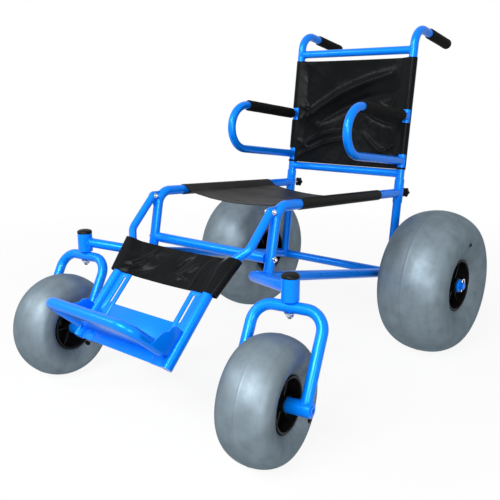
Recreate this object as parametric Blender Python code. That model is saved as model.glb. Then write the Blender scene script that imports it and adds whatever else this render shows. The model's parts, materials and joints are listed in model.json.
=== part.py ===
"""Beach wheelchair with balloon tyres, built as separate pieces.

Metres, +Z up. The chair faces -Y, +X is the occupant's left, and the origin
lies on the ground under the middle of the chair.
"""

import math

import bmesh
import bpy
from mathutils import Matrix, Vector

# Fits between pieces
GAP = 0.0003
RUNNING_GAP = 0.0006
FIT_STEP = 0.0005
SAME_PLACE = 0.00003
CUT_MARGIN = 0.010

# Place of the chair's middle plane and of its rear axle
MIDDLE_X = -0.0135
REAR_AXLE_Y = 0.3998

# Wheels
REAR_TYRE_DIAMETER = 0.490
REAR_TYRE_WIDTH = 0.236
REAR_TYRE_CLEARANCE = 0.036
REAR_HUB_DIAMETER = 0.168
REAR_HUB_WIDTH = 0.176
REAR_AXLE_DIAMETER = 0.024
FRONT_TYRE_DIAMETER = 0.322
FRONT_TYRE_WIDTH = 0.140
FRONT_HUB_DIAMETER = 0.140
FRONT_HUB_WIDTH = 0.098
FRONT_AXLE_DIAMETER = 0.012
HUB_RIM_REACH = 0.004
HUB_WALL = 0.007
HUB_WEB = 0.020
HUB_BOSS_WALL = 0.012
HUB_RIBS = 6
HUB_RIB_WIDTH = 0.005
HUB_RIB_INSET = 0.016
TYRE_FULLNESS = 0.9
AXLE_COLLAR_WIDTH = 0.009
AXLE_COLLAR_WALL = 0.010
AXLE_COLLAR_CHAMFER = 0.003
AXLE_END = 0.006
SNAP_PIN_DIAMETER = 0.005
SNAP_PIN_REACH = 0.008
BAIL_SWING = 0.020
BAIL_SETBACK = 0.006
BAIL_BEND_RADIUS = 0.006

# Tubes
FRAME_TUBE = 0.030
BACK_TUBE = 0.029
ARM_TUBE = 0.028
HANGER_TUBE = 0.024
FORK_TUBE = 0.030
HEAD_TUBE = 0.046

# Side frames
SIDE_SPACING = 0.474
SEAT_SLOPE = math.radians(3.2)
SEAT_CORNER_AHEAD = 0.668
SEAT_BEND_RADIUS = 0.046
UPRIGHT_LEAN = math.radians(11.0)
OUTRIGGER_SETOUT = 0.089
OUTRIGGER_FALL = 0.019
OUTRIGGER_OVERHANG = 0.020
OUTRIGGER_TIP_LENGTH = 0.005
OUTRIGGER_TIP_DIAMETER = 0.018
CROSS_TUBE_RISE = 0.038
CROSS_BOLT_DIAMETER = 0.008
CROSS_BOLT_GRIP = 0.012
BOLT_HEAD_DIAMETER = 0.018
BOLT_HEAD_HEIGHT = 0.006
BOLT_TIP = 0.004

# Back posts and backrest, measured along the reclined posts from the axle
RECLINE = math.radians(7.0)
RAIL_JOINT = 0.289
SOCKET_BELOW_RAIL = 0.037
SOCKET_LENGTH = 0.086
SOCKET_DIAMETER = 0.034
SOCKET_TAPER = 0.004
PLUG_DIAMETER = 0.024
PLUG_LENGTH = 0.075
LOWER_CROSSBAR_RISE = 0.018
TOP_CROSSBAR_DROP = 0.080
HANDLE_CORNER = 0.863
HANDLE_BEND_RADIUS = 0.058
HANDLE_DROP = math.radians(3.4)
HANDLE_LENGTH = 0.255
GRIP_LENGTH = 0.155
GRIP_DIAMETER = 0.037
GRIP_END_WALL = 0.005
KNOB_RISE = 0.002
KNOB_DIAMETER = 0.036
KNOB_THICKNESS = 0.015
KNOB_LOBES = 6
KNOB_STANDOFF = 0.026
KNOB_STUD_DIAMETER = 0.008

# Armrests, measured in the reclined back
ARM_RISE = 0.045
ARM_LOOP_HEIGHT = 0.155
ARM_REACH = 0.380
ARM_PAD_SETBACK = 0.0345
ARM_PAD_DIAMETER = 0.038
FOAM_EDGE_SHARE = 0.6

# Slings
SLING_THICKNESS = 0.004
SLEEVE_WALL = 0.003
SEAT_SLING_SETBACK = 0.103
SEAT_SLING_REAR = 0.115
SEAT_SAG = 0.030
BACK_SLING_LOWER_GAP = 0.004
BACK_SLING_UPPER_GAP = 0.012
BACK_SAG = 0.020
SAG_AT_ENDS = 0.75
SLING_FOLD = 0.004
FOLD_WAVES = 1.25
FOLD_SLANT = 0.4
SLEEVE_NOTCH = 0.046
NOTCH_REACH = 0.016

# Casters
OUTRIGGER_REACH = 0.175
OUTRIGGER_LEAD = 0.081
HEAD_LENGTH = 0.059
HEAD_JOINT_RISE = 0.031
HEAD_BORE_DEPTH = 0.046
HEAD_CAP_HEIGHT = 0.013
CASTER_TRAIL = 0.109
FORK_TOP_CLEARANCE = 0.0254
FORK_SIDE_CLEARANCE = 0.012
FORK_BEND_RADIUS = 0.052
FORK_BOSS_DIAMETER = 0.038
FORK_BOSS_OVERHANG = 0.003
KINGPIN_DIAMETER = 0.016
KINGPIN_NUT_DIAMETER = 0.026
KINGPIN_NUT_HEIGHT = 0.014
FRONT_AXLE_HEAD_DIAMETER = 0.019
FRONT_AXLE_HEAD_HEIGHT = 0.005
FRONT_AXLE_TIP = 0.002
CASTER_TURN_L = math.radians(10.0)
CASTER_TURN_R = math.radians(5.0)

# Leg rest, measured along the hangers from their hinge
HINGE_LEAD = 0.028
HINGE_DROP = 0.0112
HANGER_SLOPE = math.radians(46.0)
HANGER_TOP = 0.012
HANGER_TIP_LENGTH = 0.006
HANGER_TIP_DIAMETER = 0.013
HANGER_JOGGLE_START = 0.128
HANGER_JOGGLE_LENGTH = 0.067
HANGER_JOGGLE_RADIUS = 0.040
FOOTREST_SPACING = 0.364
BRACKET_THICKNESS = 0.005
BRACKET_NOSE = 0.013
BRACKET_DROP = 0.058
BRACKET_NOSE_START = math.radians(70.0)
BRACKET_NOSE_END = math.radians(225.0)
HINGE_BOLT_DIAMETER = 0.008
STRAP_SETBACK = 0.037
STRAP_LENGTH = 0.113
STRAP_TOP_SLACK = 0.0127
STRAP_BOTTOM_SLACK = 0.0147
STRAP_SAG = 0.012

# Sliding footplate
SLEEVE_SETBACK = 0.001
SLEEVE_LENGTH = 0.220
SLEEVE_DIAMETER = 0.031
HANGER_IN_SLEEVE = 0.157
SLOT_PLATE_WIDTH = 0.060
SLOT_PLATE_THICKNESS = 0.005
SLOT_WIDTH = 0.006
SLOT_LENGTH = 0.086
SLOT_INSET = 0.016
SLOT_START = 0.010
FOLD_INSET = 0.010
FOLD_RADIUS = 0.022
FOOTPLATE_TILT = math.radians(4.0)
HEEL_HEIGHT = 0.112
FOOTPLATE_DEPTH = 0.170
SHEET = 0.004
RIM_TUBE = 0.030
RIM_LIFT = 0.0035
RIM_BEND_RADIUS = 0.034
RIM_RETURN = 0.070
CHEEK_HEIGHT = 0.098
CHEEK_DEPTH = 0.066
CHEEK_CORNER = 0.020

# Smoothness of the round pieces
TUBE_SIDES = 12
WIRE_SIDES = 8
BEND_STEPS = 5
SMALL_BEND_STEPS = 4
JOGGLE_STEPS = 3
NOSE_STEPS = 7
CUTTER_SIDES = 16
TYRE_SEGMENTS = 36
REAR_TYRE_POINTS = 6
FRONT_TYRE_POINTS = 5
CREASE_ANGLE = math.radians(40.0)
DOME_ANGLES = (math.radians(65.0), math.radians(35.0))
SLEEVE_POINTS = 8
WEB_POINTS = 8
SLING_STEPS = 9

# Share of the height and of the radius at each step of a cap's dome
HEAD_CAP_DOME = ((0.6, 1.0), (0.88, 0.85), (1.0, 0.5))

# Share of the thickness, share of the radius and lobe height at each step of a knob
KNOB_STEPS = ((0.0, 0.45, 0.0), (0.3, 0.55, 0.0), (0.35, 0.9, 0.10), (0.85, 0.9, 0.10), (1.0, 0.7, 0.07))

# Colour, roughness and metallic value of each finish
FINISHES = {
    "blue_paint": ((0.0, 0.20, 0.86), 0.30, 0.0),
    "black_vinyl": ((0.012, 0.012, 0.013), 0.42, 0.0),
    "black_foam": ((0.014, 0.014, 0.015), 0.85, 0.0),
    "black_plastic": ((0.010, 0.010, 0.011), 0.38, 0.0),
    "grey_tyre": ((0.17, 0.185, 0.20), 0.45, 0.0),
    "steel": ((0.62, 0.62, 0.63), 0.28, 1.0),
}

ROOT = "chair"
SIDES = (("L", 1), ("R", -1))

# Places and sizes that follow from the ones above
REAR_RADIUS = REAR_TYRE_DIAMETER / 2
FRONT_RADIUS = FRONT_TYRE_DIAMETER / 2
SIDE_X = SIDE_SPACING / 2
FRAME_RADIUS = FRAME_TUBE / 2
REAR_TRACK = SIDE_SPACING + FRAME_TUBE + REAR_TYRE_WIDTH + 2 * REAR_TYRE_CLEARANCE
FORK_SPACING = FRONT_TYRE_WIDTH + FORK_TUBE + 2 * FORK_SIDE_CLEARANCE
HEAD_BOTTOM = FRONT_TYRE_DIAMETER + FORK_TOP_CLEARANCE + FORK_TUBE + RUNNING_GAP
HEAD_TOP = HEAD_BOTTOM + HEAD_LENGTH
HEAD_X = SIDE_X + OUTRIGGER_REACH
OUTRIGGER_JOINT = HEAD_BOTTOM + HEAD_JOINT_RISE
OUTRIGGER_HEIGHT = OUTRIGGER_JOINT - OUTRIGGER_FALL
OUTRIGGER_AHEAD = SEAT_CORNER_AHEAD + OUTRIGGER_SETOUT
HEAD_AHEAD = OUTRIGGER_AHEAD + OUTRIGGER_LEAD
CROSS_TUBE_HEIGHT = OUTRIGGER_HEIGHT + CROSS_TUBE_RISE
SOCKET_BOTTOM = RAIL_JOINT - SOCKET_BELOW_RAIL
SOCKET_TOP = SOCKET_BOTTOM + SOCKET_LENGTH
KNOB_JOINT = RAIL_JOINT + KNOB_RISE
LOWER_CROSSBAR = SOCKET_TOP + LOWER_CROSSBAR_RISE
TOP_CROSSBAR = HANDLE_CORNER - TOP_CROSSBAR_DROP
ARM_LOWER = LOWER_CROSSBAR + ARM_RISE
ARM_UPPER = ARM_LOWER + ARM_LOOP_HEIGHT
BACK_SLING_BOTTOM = LOWER_CROSSBAR + ARM_TUBE / 2 + BACK_SLING_LOWER_GAP
BACK_SLING_TOP = TOP_CROSSBAR - ARM_TUBE / 2 - BACK_SLING_UPPER_GAP
SEAT_SLING_FRONT = SEAT_CORNER_AHEAD - SEAT_SLING_SETBACK
HANGER_JOGGLE_END = HANGER_JOGGLE_START + HANGER_JOGGLE_LENGTH
STRAP_START = HANGER_JOGGLE_START + STRAP_SETBACK
SLEEVE_START = STRAP_START + STRAP_LENGTH + SLEEVE_SETBACK
SLEEVE_END = SLEEVE_START + SLEEVE_LENGTH
HANGER_END = SLEEVE_START + HANGER_IN_SLEEVE
FOLD_AT = SLEEVE_END - FOLD_INSET


def clear_scene():
    """Remove every object that the file starts with."""
    for found in list(bpy.data.objects):
        bpy.data.objects.remove(found)


def principled(name, finish):
    """A material of the named finish."""
    colour, roughness, metallic = FINISHES[finish]
    made = bpy.data.materials.new(name)
    made.use_nodes = True
    shader = made.node_tree.nodes["Principled BSDF"]
    shader.inputs["Base Color"].default_value = (*colour, 1.0)
    shader.inputs["Roughness"].default_value = roughness
    shader.inputs["Metallic"].default_value = metallic
    return made


def add_object(name, shape, finish, parent=None):
    """Turn a bmesh into a named object with its own material."""
    bmesh.ops.recalc_face_normals(shape, faces=shape.faces)
    mesh = bpy.data.meshes.new(name)
    shape.to_mesh(mesh)
    shape.free()
    mesh.shade_smooth()
    mesh.set_sharp_from_angle(angle=CREASE_ANGLE)
    mesh.materials.append(principled(f"{name}_{finish}", finish))
    made = bpy.data.objects.new(name, mesh)
    made.parent = parent or bpy.data.objects[ROOT]
    bpy.context.scene.collection.objects.link(made)
    return made


def add_empty(name, location, turn=(0.0, 0.0, 0.0), parent=None):
    """A guide that carries the pieces of one moving body."""
    carrier = parent or bpy.data.objects.get(ROOT)
    made = bpy.data.objects.new(name, None)
    made.location = location
    made.rotation_euler = turn
    made.parent = carrier
    bpy.context.scene.collection.objects.link(made)
    return made


def combine(target, helper, operation):
    """Join a helper to a piece, or cut it out of one, and hide the helper."""
    helper.hide_render = True
    helper.display_type = "WIRE"
    change = target.modifiers.new(helper.name, "BOOLEAN")
    change.operation = operation
    change.solver = "EXACT"
    change.object = helper


def cut(target, helper):
    """Cut a helper out of a piece."""
    combine(target, helper, "DIFFERENCE")


def join(target, helper):
    """Fuse a helper with a piece."""
    combine(target, helper, "UNION")


def outside(radius, sides):
    """Corner radius of a polygon whose flats lie at the radius."""
    return radius / math.cos(math.pi / sides)


def rounded(corners, radius, steps=BEND_STEPS):
    """A path through the corners with each inner corner turned on a radius."""
    points = [Vector(corners[0])]
    for before, here, after in zip(corners, corners[1:], corners[2:]):
        here = Vector(here)
        to_before = (Vector(before) - here).normalized()
        to_after = (Vector(after) - here).normalized()
        half = to_before.angle(to_after) / 2
        middle = here + (to_before + to_after).normalized() * radius / math.sin(half)
        first = here + to_before * radius / math.tan(half) - middle
        last = here + to_after * radius / math.tan(half) - middle
        turn = first.angle(last)
        axis = first.cross(last).normalized()
        for step in range(steps + 1):
            points.append(middle + Matrix.Rotation(turn * step / steps, 3, axis) @ first)
    points.append(Vector(corners[-1]))
    return points


def directions(points):
    """Direction of travel at each point, shared by points that coincide."""
    found = []
    for index, here in enumerate(points):
        before = next((p for p in reversed(points[:index]) if (p - here).length > SAME_PLACE), None)
        after = next((p for p in points[index + 1:] if (p - here).length > SAME_PLACE), None)
        arriving = (here - before).normalized() if before else None
        leaving = (after - here).normalized() if after else None
        found.append(((arriving or leaving) + (leaving or arriving)).normalized())
    return found


def sweep(points, radii, sides=TUBE_SIDES):
    """A closed round bar along the points, of one radius or one for each point."""
    points = [Vector(p) for p in points]
    if not isinstance(radii, (list, tuple)):
        radii = [radii] * len(points)
    along = directions(points)
    side = along[0].orthogonal().normalized()
    across = Vector((1, 0, 0)) - along[0] * along[0].x
    if across.length > abs(along[0].x) / 2:
        side = across.normalized()
    shape = bmesh.new()
    rings = []
    for point, radius, ahead in zip(points, radii, along):
        side = (side - ahead * side.dot(ahead)).normalized()
        up = ahead.cross(side)
        angles = [2 * math.pi * (k + 0.5) / sides for k in range(sides)]
        rings.append([
            shape.verts.new(point + (side * math.cos(a) + up * math.sin(a)) * radius)
            for a in angles
        ])
    close_rings(shape, rings)
    shape.faces.new(rings[0])
    shape.faces.new(rings[-1])
    return shape


def close_rings(shape, rings):
    """Faces between each ring of points and the next."""
    for first, second in zip(rings, rings[1:]):
        count = len(first)
        for k in range(count):
            after = (k + 1) % count
            shape.faces.new((first[k], first[after], second[after], second[k]))


AXIS_PLACES = {
    "X": lambda r, h, a: (h, r * math.cos(a), r * math.sin(a)),
    "Y": lambda r, h, a: (r * math.cos(a), h, r * math.sin(a)),
    "Z": lambda r, h, a: (r * math.cos(a), r * math.sin(a), h),
}


def lathe(profile, axis, segments, centre=(0.0, 0.0, 0.0)):
    """Turn a closed profile of (radius, height) points about an axis.

    A profile that starts and ends on the axis makes a solid piece, and one
    that stays off it makes a ring.
    """
    place = AXIS_PLACES[axis]
    shape = bmesh.new()
    centre = Vector(centre)
    rings = []
    for radius, height in profile:
        if radius == 0.0:
            rings.append([shape.verts.new(centre + Vector(place(0.0, height, 0.0)))])
            continue
        angles = [2 * math.pi * (k + 0.5) / segments for k in range(segments)]
        rings.append([shape.verts.new(centre + Vector(place(radius, height, a))) for a in angles])
    on_axis = len(rings[0]) == 1
    pairs = list(zip(rings, rings[1:]))
    if not on_axis:
        pairs.append((rings[-1], rings[0]))
    for first, second in pairs:
        if len(first) == 1 or len(second) == 1:
            pole, ring = (first, second) if len(first) == 1 else (second, first)
            for k in range(segments):
                shape.faces.new((pole[0], ring[k], ring[(k + 1) % segments]))
        else:
            close_rings(shape, [first, second])
    return shape


def prism(outline, axis, low, high):
    """A flat outline carried from low to high along an axis."""
    place = {
        "X": lambda p, h: (h, p[0], p[1]),
        "Y": lambda p, h: (p[0], h, p[1]),
        "Z": lambda p, h: (p[0], p[1], h),
    }[axis]
    shape = bmesh.new()
    rings = [[shape.verts.new(place(p, h)) for p in outline] for h in (low, high)]
    close_rings(shape, rings)
    shape.faces.new(rings[0])
    shape.faces.new(rings[1])
    return shape


def box(low, high):
    """A rectangular block between two corners."""
    outline = [(low[0], low[1]), (high[0], low[1]), (high[0], high[1]), (low[0], high[1])]
    return prism(outline, "Z", low[2], high[2])


def arc(centre, radius, start, end, steps):
    """Points of an arc in a plane, from one angle to another."""
    angles = [start + (end - start) * k / steps for k in range(steps + 1)]
    return [(centre[0] + radius * math.cos(a), centre[1] + radius * math.sin(a)) for a in angles]


def dome_bolt(shank_radius, shank_length, head_radius, head_height):
    """Profile of a domed bolt whose head stands above zero."""
    crown = [(head_radius * math.cos(a), head_height * math.sin(a)) for a in DOME_ANGLES]
    return [
        (0.0, head_height), *crown, (head_radius, 0.0),
        (shank_radius, 0.0), (shank_radius, -shank_length), (0.0, -shank_length),
    ]


def tyre_profile(diameter, width, bead_radius, bead_half, points):
    """Section of a balloon tyre: round crown, full side walls, flat bead seat."""
    crown = outside(diameter / 2, TYRE_SEGMENTS)
    middle = (diameter / 2 + bead_radius) / 2
    half = width / 2
    last = math.pi - math.asin(bead_half / half)
    inner = (middle - bead_radius) / abs(math.cos(last))
    top = math.cos(last * 0.5 / points) ** TYRE_FULLNESS
    side = []
    for k in range(points):
        angle = last * (k + 0.5) / points
        if angle < math.pi / 2:
            radius = middle + (crown - middle) * math.cos(angle) ** TYRE_FULLNESS / top
        else:
            radius = middle + inner * math.cos(angle)
        side.append((radius, half * math.sin(angle) ** TYRE_FULLNESS))
    side.append((bead_radius, bead_half))
    return side + [(r, -x) for r, x in reversed(side)]


def hub_profile(diameter, width, bore):
    """Section of a moulded hub: boss, web and a barrel that stands past the bead."""
    barrel = diameter / 2
    inner = barrel - HUB_WALL
    boss = bore + HUB_BOSS_WALL
    half = width / 2
    outer = [
        (bore, half), (boss, half), (boss, HUB_WEB / 2), (inner - HUB_WALL / 2, HUB_WEB / 2),
        (inner, half + HUB_RIM_REACH), (barrel, half + HUB_RIM_REACH),
    ]
    return outer + [(r, -h) for r, h in reversed(outer)]


def rib_star(inner, outer, half_width):
    """Radial ribs that stand on both faces of a hub's web, as one flat star."""
    outline = []
    for k in range(HUB_RIBS):
        turn = 2 * math.pi * k / HUB_RIBS
        ahead = Vector((math.cos(turn), math.sin(turn)))
        across = Vector((-ahead.y, ahead.x))
        half = HUB_RIB_WIDTH / 2
        outline += [ahead * outer - across * half, ahead * outer + across * half]
        middle = turn + math.pi / HUB_RIBS
        outline.append(Vector((math.cos(middle), math.sin(middle))) * inner)
    return prism([tuple(p) for p in outline], "X", -half_width, half_width)


def build_wheel(prefix, side, diameter, width, hub, hub_width, axle, points, parent):
    """One balloon tyre on its moulded hub, turning about local X."""
    bore = outside(axle / 2 + RUNNING_GAP, CUTTER_SIDES)
    bead = outside(hub / 2 + GAP, TYRE_SEGMENTS)
    profile = tyre_profile(diameter, width, bead, hub_width / 2 - GAP, points)
    add_object(f"{prefix}_tyre_{side}", lathe(profile, "X", TYRE_SEGMENTS), "grey_tyre", parent)
    made = add_object(
        f"{prefix}_hub_{side}",
        lathe(hub_profile(hub, hub_width, bore), "X", CUTTER_SIDES), "black_plastic", parent,
    )
    ribs = rib_star(
        bore + HUB_BOSS_WALL / 2, hub / 2 - HUB_WALL / 2, hub_width / 2 - HUB_RIB_INSET)
    join(made, add_object(f"{prefix}_hub_ribs_{side}", ribs, "black_plastic", parent))
    bore_path = [(-hub_width, 0.0, 0.0), (hub_width, 0.0, 0.0)]
    bore_bar = sweep(bore_path, bore, CUTTER_SIDES)
    cut(made, add_object(f"{prefix}_hub_bore_{side}", bore_bar, "black_plastic", parent))


def build_rear_wheels():
    """Rear wheels on a stepped axle, each held by a collar and a snap pin."""
    axle_radius = REAR_AXLE_DIAMETER / 2
    hub_inner = REAR_TRACK / 2 - REAR_HUB_WIDTH / 2
    hub_outer = REAR_TRACK / 2 + REAR_HUB_WIDTH / 2
    pin_radius = SNAP_PIN_DIAMETER / 2
    pin_x = hub_outer + RUNNING_GAP + AXLE_COLLAR_WIDTH + GAP + pin_radius
    shaft_end = pin_x + pin_radius + AXLE_END
    shoulder = hub_inner - RUNNING_GAP
    stations = [-shaft_end, -shoulder, -shoulder, shoulder, shoulder, shaft_end]
    radii = [axle_radius, axle_radius, FRAME_RADIUS, FRAME_RADIUS, axle_radius, axle_radius]
    path = [(x, REAR_AXLE_Y, REAR_RADIUS) for x in stations]
    axle = add_object("rear_axle_tube", sweep(path, radii, CUTTER_SIDES), "blue_paint")
    for side, sign in SIDES:
        place = (sign * REAR_TRACK / 2, REAR_AXLE_Y, REAR_RADIUS)
        wheel = add_empty(f"rear_wheel_centre_{side}", place)
        build_wheel(
            "rear", side, REAR_TYRE_DIAMETER, REAR_TYRE_WIDTH, REAR_HUB_DIAMETER,
            REAR_HUB_WIDTH, REAR_AXLE_DIAMETER, REAR_TYRE_POINTS, wheel)
        start = sign * (hub_outer + RUNNING_GAP)
        stop = start + sign * AXLE_COLLAR_WIDTH
        bore = outside(axle_radius + GAP, TUBE_SIDES * 2)
        rim = axle_radius + AXLE_COLLAR_WALL
        collar = [
            (bore, start), (rim, start), (rim, stop - sign * AXLE_COLLAR_CHAMFER),
            (rim - AXLE_COLLAR_CHAMFER, stop), (bore, stop),
        ]
        centre = (0.0, REAR_AXLE_Y, REAR_RADIUS)
        add_object(
            f"axle_collar_{side}", lathe(collar, "X", TUBE_SIDES * 2, centre), "blue_paint")
        pin_place = Vector((sign * pin_x, REAR_AXLE_Y, REAR_RADIUS))
        build_snap_pin(side, axle, pin_place, pin_radius, axle_radius)


def build_snap_pin(side, axle, place, radius, axle_radius):
    """A straight pin through the axle with a wire bail sprung over its end."""
    reach = axle_radius + SNAP_PIN_REACH
    up = Vector((0, 0, 1))
    swing = Vector((0, BAIL_SWING, 0))
    bail = [
        place - up * reach,
        place + up * reach,
        place + up * reach + swing,
        place - up * (reach - BAIL_SETBACK) + swing,
    ]
    path = rounded(bail, BAIL_BEND_RADIUS, SMALL_BEND_STEPS)
    add_object(f"snap_pin_{side}", sweep(path, radius, WIRE_SIDES), "steel")
    hole = [place - up * (axle_radius + CUT_MARGIN), place + up * (axle_radius + CUT_MARGIN)]
    cutter = sweep(hole, outside(radius + GAP, CUTTER_SIDES), CUTTER_SIDES)
    cut(axle, add_object(f"snap_pin_hole_{side}", cutter, "steel"))


def rail_corner():
    """Where the lines of seat rail and upright would meet, in side view."""
    post_y = REAR_AXLE_Y + RAIL_JOINT * math.sin(RECLINE)
    post_z = REAR_RADIUS + RAIL_JOINT * math.cos(RECLINE)
    corner_y = REAR_AXLE_Y - SEAT_CORNER_AHEAD
    return corner_y, post_z + (post_y - corner_y) * math.tan(SEAT_SLOPE)


def upright_y(z):
    """Centre of the upright at a height."""
    corner_y, corner_z = rail_corner()
    return corner_y - (corner_z - z) * math.tan(UPRIGHT_LEAN)


def lower_rail_z(y):
    """Centre of the lower rail at a place along the chair."""
    ahead = REAR_AXLE_Y - y
    return REAR_RADIUS + (OUTRIGGER_HEIGHT - REAR_RADIUS) * ahead / OUTRIGGER_AHEAD


def post_guide():
    """Guide whose local Z runs up the reclined posts from the rear axle."""
    return add_empty("back_guide", (0.0, REAR_AXLE_Y, REAR_RADIUS), (-RECLINE, 0.0, 0.0))


def fat_bar(name, path, radius, parent=None):
    """A cutter that leaves the usual gap round a tube."""
    shape = sweep(path, outside(radius + GAP, CUTTER_SIDES), CUTTER_SIDES)
    return add_object(name, shape, "steel", parent)


def side_rail_path(x):
    """Seat rail, front bend and upright of one side, from post to lower rail."""
    corner_y, corner_z = rail_corner()
    post_y = REAR_AXLE_Y + RAIL_JOINT * math.sin(RECLINE)
    post_z = REAR_RADIUS + RAIL_JOINT * math.cos(RECLINE)
    foot_z = lower_rail_z(upright_y(OUTRIGGER_HEIGHT))
    corners = [(x, post_y, post_z), (x, corner_y, corner_z), (x, upright_y(foot_z), foot_z)]
    return rounded(corners, SEAT_BEND_RADIUS)


def build_side_frames(guide):
    """Bent side rails, lower rails, posts, cross tube and hinge brackets."""
    axle_path = [
        (-REAR_TRACK / 2, REAR_AXLE_Y, REAR_RADIUS), (REAR_TRACK / 2, REAR_AXLE_Y, REAR_RADIUS)]
    cross_y = upright_y(CROSS_TUBE_HEIGHT)
    cross_path = [(-SIDE_X, cross_y, CROSS_TUBE_HEIGHT), (SIDE_X, cross_y, CROSS_TUBE_HEIGHT)]
    cross = add_object("front_cross_tube", sweep(cross_path, FRAME_RADIUS), "blue_paint")
    around_axle = fat_bar("around_axle", axle_path, FRAME_RADIUS)
    for side, sign in SIDES:
        x = sign * SIDE_X
        rail_path = side_rail_path(x)
        rail = add_object(f"side_rail_{side}", sweep(rail_path, FRAME_RADIUS), "blue_paint")
        low_path = [
            (x, REAR_AXLE_Y - OUTRIGGER_AHEAD, OUTRIGGER_HEIGHT), (x, REAR_AXLE_Y, REAR_RADIUS)]
        lower = add_object(f"lower_rail_{side}", sweep(low_path, FRAME_RADIUS), "blue_paint")
        cut(lower, around_axle)
        post = add_object(f"back_post_{side}", post_shape(x), "blue_paint", guide)
        cut(post, around_axle)
        around_rail = fat_bar(f"around_side_rail_{side}", rail_path, FRAME_RADIUS)
        around_low = fat_bar(f"around_lower_rail_{side}", low_path, FRAME_RADIUS)
        socket = [(x, 0.0, SOCKET_BOTTOM - FRAME_RADIUS), (x, 0.0, SOCKET_TOP + FRAME_RADIUS)]
        cut(rail, fat_bar(f"around_socket_{side}", socket, SOCKET_DIAMETER / 2, guide))
        cut(rail, around_low)
        cut(post, around_low)
        cut(cross, around_rail)
        build_cross_bolt(side, sign, rail, cross, cross_y)
        build_bracket(side, x, around_rail)


def post_shape(x):
    """A back post with a wider socket and a blind bore for the backrest's plug."""
    bore = outside(PLUG_DIAMETER / 2 + GAP, CUTTER_SIDES)
    floor = SOCKET_TOP - PLUG_LENGTH - GAP
    profile = [
        (0.0, 0.0), (FRAME_RADIUS, 0.0), (FRAME_RADIUS, SOCKET_BOTTOM),
        (SOCKET_DIAMETER / 2, SOCKET_BOTTOM + SOCKET_TAPER), (SOCKET_DIAMETER / 2, SOCKET_TOP),
        (bore, SOCKET_TOP), (bore, floor), (0.0, floor),
    ]
    return lathe(profile, "Z", CUTTER_SIDES, (x, 0.0, 0.0))


def build_cross_bolt(side, sign, rail, cross, cross_y):
    """A domed bolt from outside through the upright into the cross tube."""
    start = sign * (SIDE_X + FRAME_RADIUS + GAP)
    length = FRAME_TUBE + CROSS_BOLT_GRIP
    shank = CROSS_BOLT_DIAMETER / 2
    profile = dome_bolt(shank, length, BOLT_HEAD_DIAMETER / 2, BOLT_HEAD_HEIGHT)
    along = [(r, start + sign * h) for r, h in profile]
    centre = (0.0, cross_y, CROSS_TUBE_HEIGHT)
    add_object(f"cross_bolt_{side}", lathe(along, "X", TUBE_SIDES, centre), "steel")
    reach = [
        (start + sign * CUT_MARGIN, cross_y, CROSS_TUBE_HEIGHT),
        (start - sign * (length + GAP), cross_y, CROSS_TUBE_HEIGHT)]
    hole = fat_bar(f"cross_bolt_hole_{side}", reach, shank)
    cut(rail, hole)
    cut(cross, hole)


def hinge_place():
    """The leg rest's hinge axis in side view."""
    corner_y, corner_z = rail_corner()
    return corner_y - HINGE_LEAD, corner_z - HINGE_DROP


def build_bracket(side, x, around_rail):
    """A gusset plate on the front bend that carries the leg rest's hinge."""
    hinge_y, hinge_z = hinge_place()
    corner_y, corner_z = rail_corner()
    foot_z = corner_z - BRACKET_DROP - FRAME_RADIUS
    nose = arc((hinge_y, hinge_z), BRACKET_NOSE, BRACKET_NOSE_START, BRACKET_NOSE_END, NOSE_STEPS)
    outline = [(corner_y + FRAME_RADIUS, corner_z), *nose, (upright_y(foot_z), foot_z)]
    half = BRACKET_THICKNESS / 2
    plate = add_object(f"hinge_bracket_{side}", prism(outline, "X", x - half, x + half), "blue_paint")
    cut(plate, around_rail)
    reach = [(x - FRAME_TUBE, hinge_y, hinge_z), (x + FRAME_TUBE, hinge_y, hinge_z)]
    cut(plate, fat_bar(f"bracket_hole_{side}", reach, HINGE_BOLT_DIAMETER / 2))


def build_front_end():
    """Outriggers, caster head tubes with their caps, and the casters."""
    for side, sign in SIDES:
        x = sign * SIDE_X
        inner = Vector((x, REAR_AXLE_Y - OUTRIGGER_AHEAD, OUTRIGGER_HEIGHT))
        head = Vector((sign * HEAD_X, REAR_AXLE_Y - HEAD_AHEAD, OUTRIGGER_JOINT))
        ahead = (head - inner).normalized()
        shoulder = inner - ahead * OUTRIGGER_OVERHANG
        tip = shoulder - ahead * OUTRIGGER_TIP_LENGTH
        radii = [OUTRIGGER_TIP_DIAMETER / 2, FRAME_RADIUS, FRAME_RADIUS]
        arm = add_object(f"outrigger_{side}", sweep([tip, shoulder, head], radii), "blue_paint")
        around_arm = fat_bar(f"around_outrigger_{side}", [tip, head], FRAME_RADIUS)
        cut(bpy.data.objects[f"lower_rail_{side}"], around_arm)
        cut(bpy.data.objects[f"side_rail_{side}"], around_arm)
        add_object(f"head_tube_{side}", head_shape(head), "blue_paint")
        ends = [(head.x, head.y, HEAD_BOTTOM - FRAME_TUBE), (head.x, head.y, HEAD_TOP + FRAME_TUBE)]
        cut(arm, fat_bar(f"around_head_{side}", ends, HEAD_TUBE / 2))
        radius = HEAD_TUBE / 2
        low = HEAD_TOP + GAP
        dome = [(radius * size, low + HEAD_CAP_HEIGHT * share) for share, size in HEAD_CAP_DOME]
        cap = [(0.0, low), (radius, low), *dome, (0.0, low + HEAD_CAP_HEIGHT)]
        centre = (head.x, head.y, 0.0)
        add_object(f"head_cap_{side}", lathe(cap, "Z", CUTTER_SIDES, centre), "black_plastic")
        turn = CASTER_TURN_L if side == "L" else CASTER_TURN_R
        build_caster(side, add_empty(f"caster_axis_{side}", centre, (0.0, 0.0, turn)))


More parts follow.
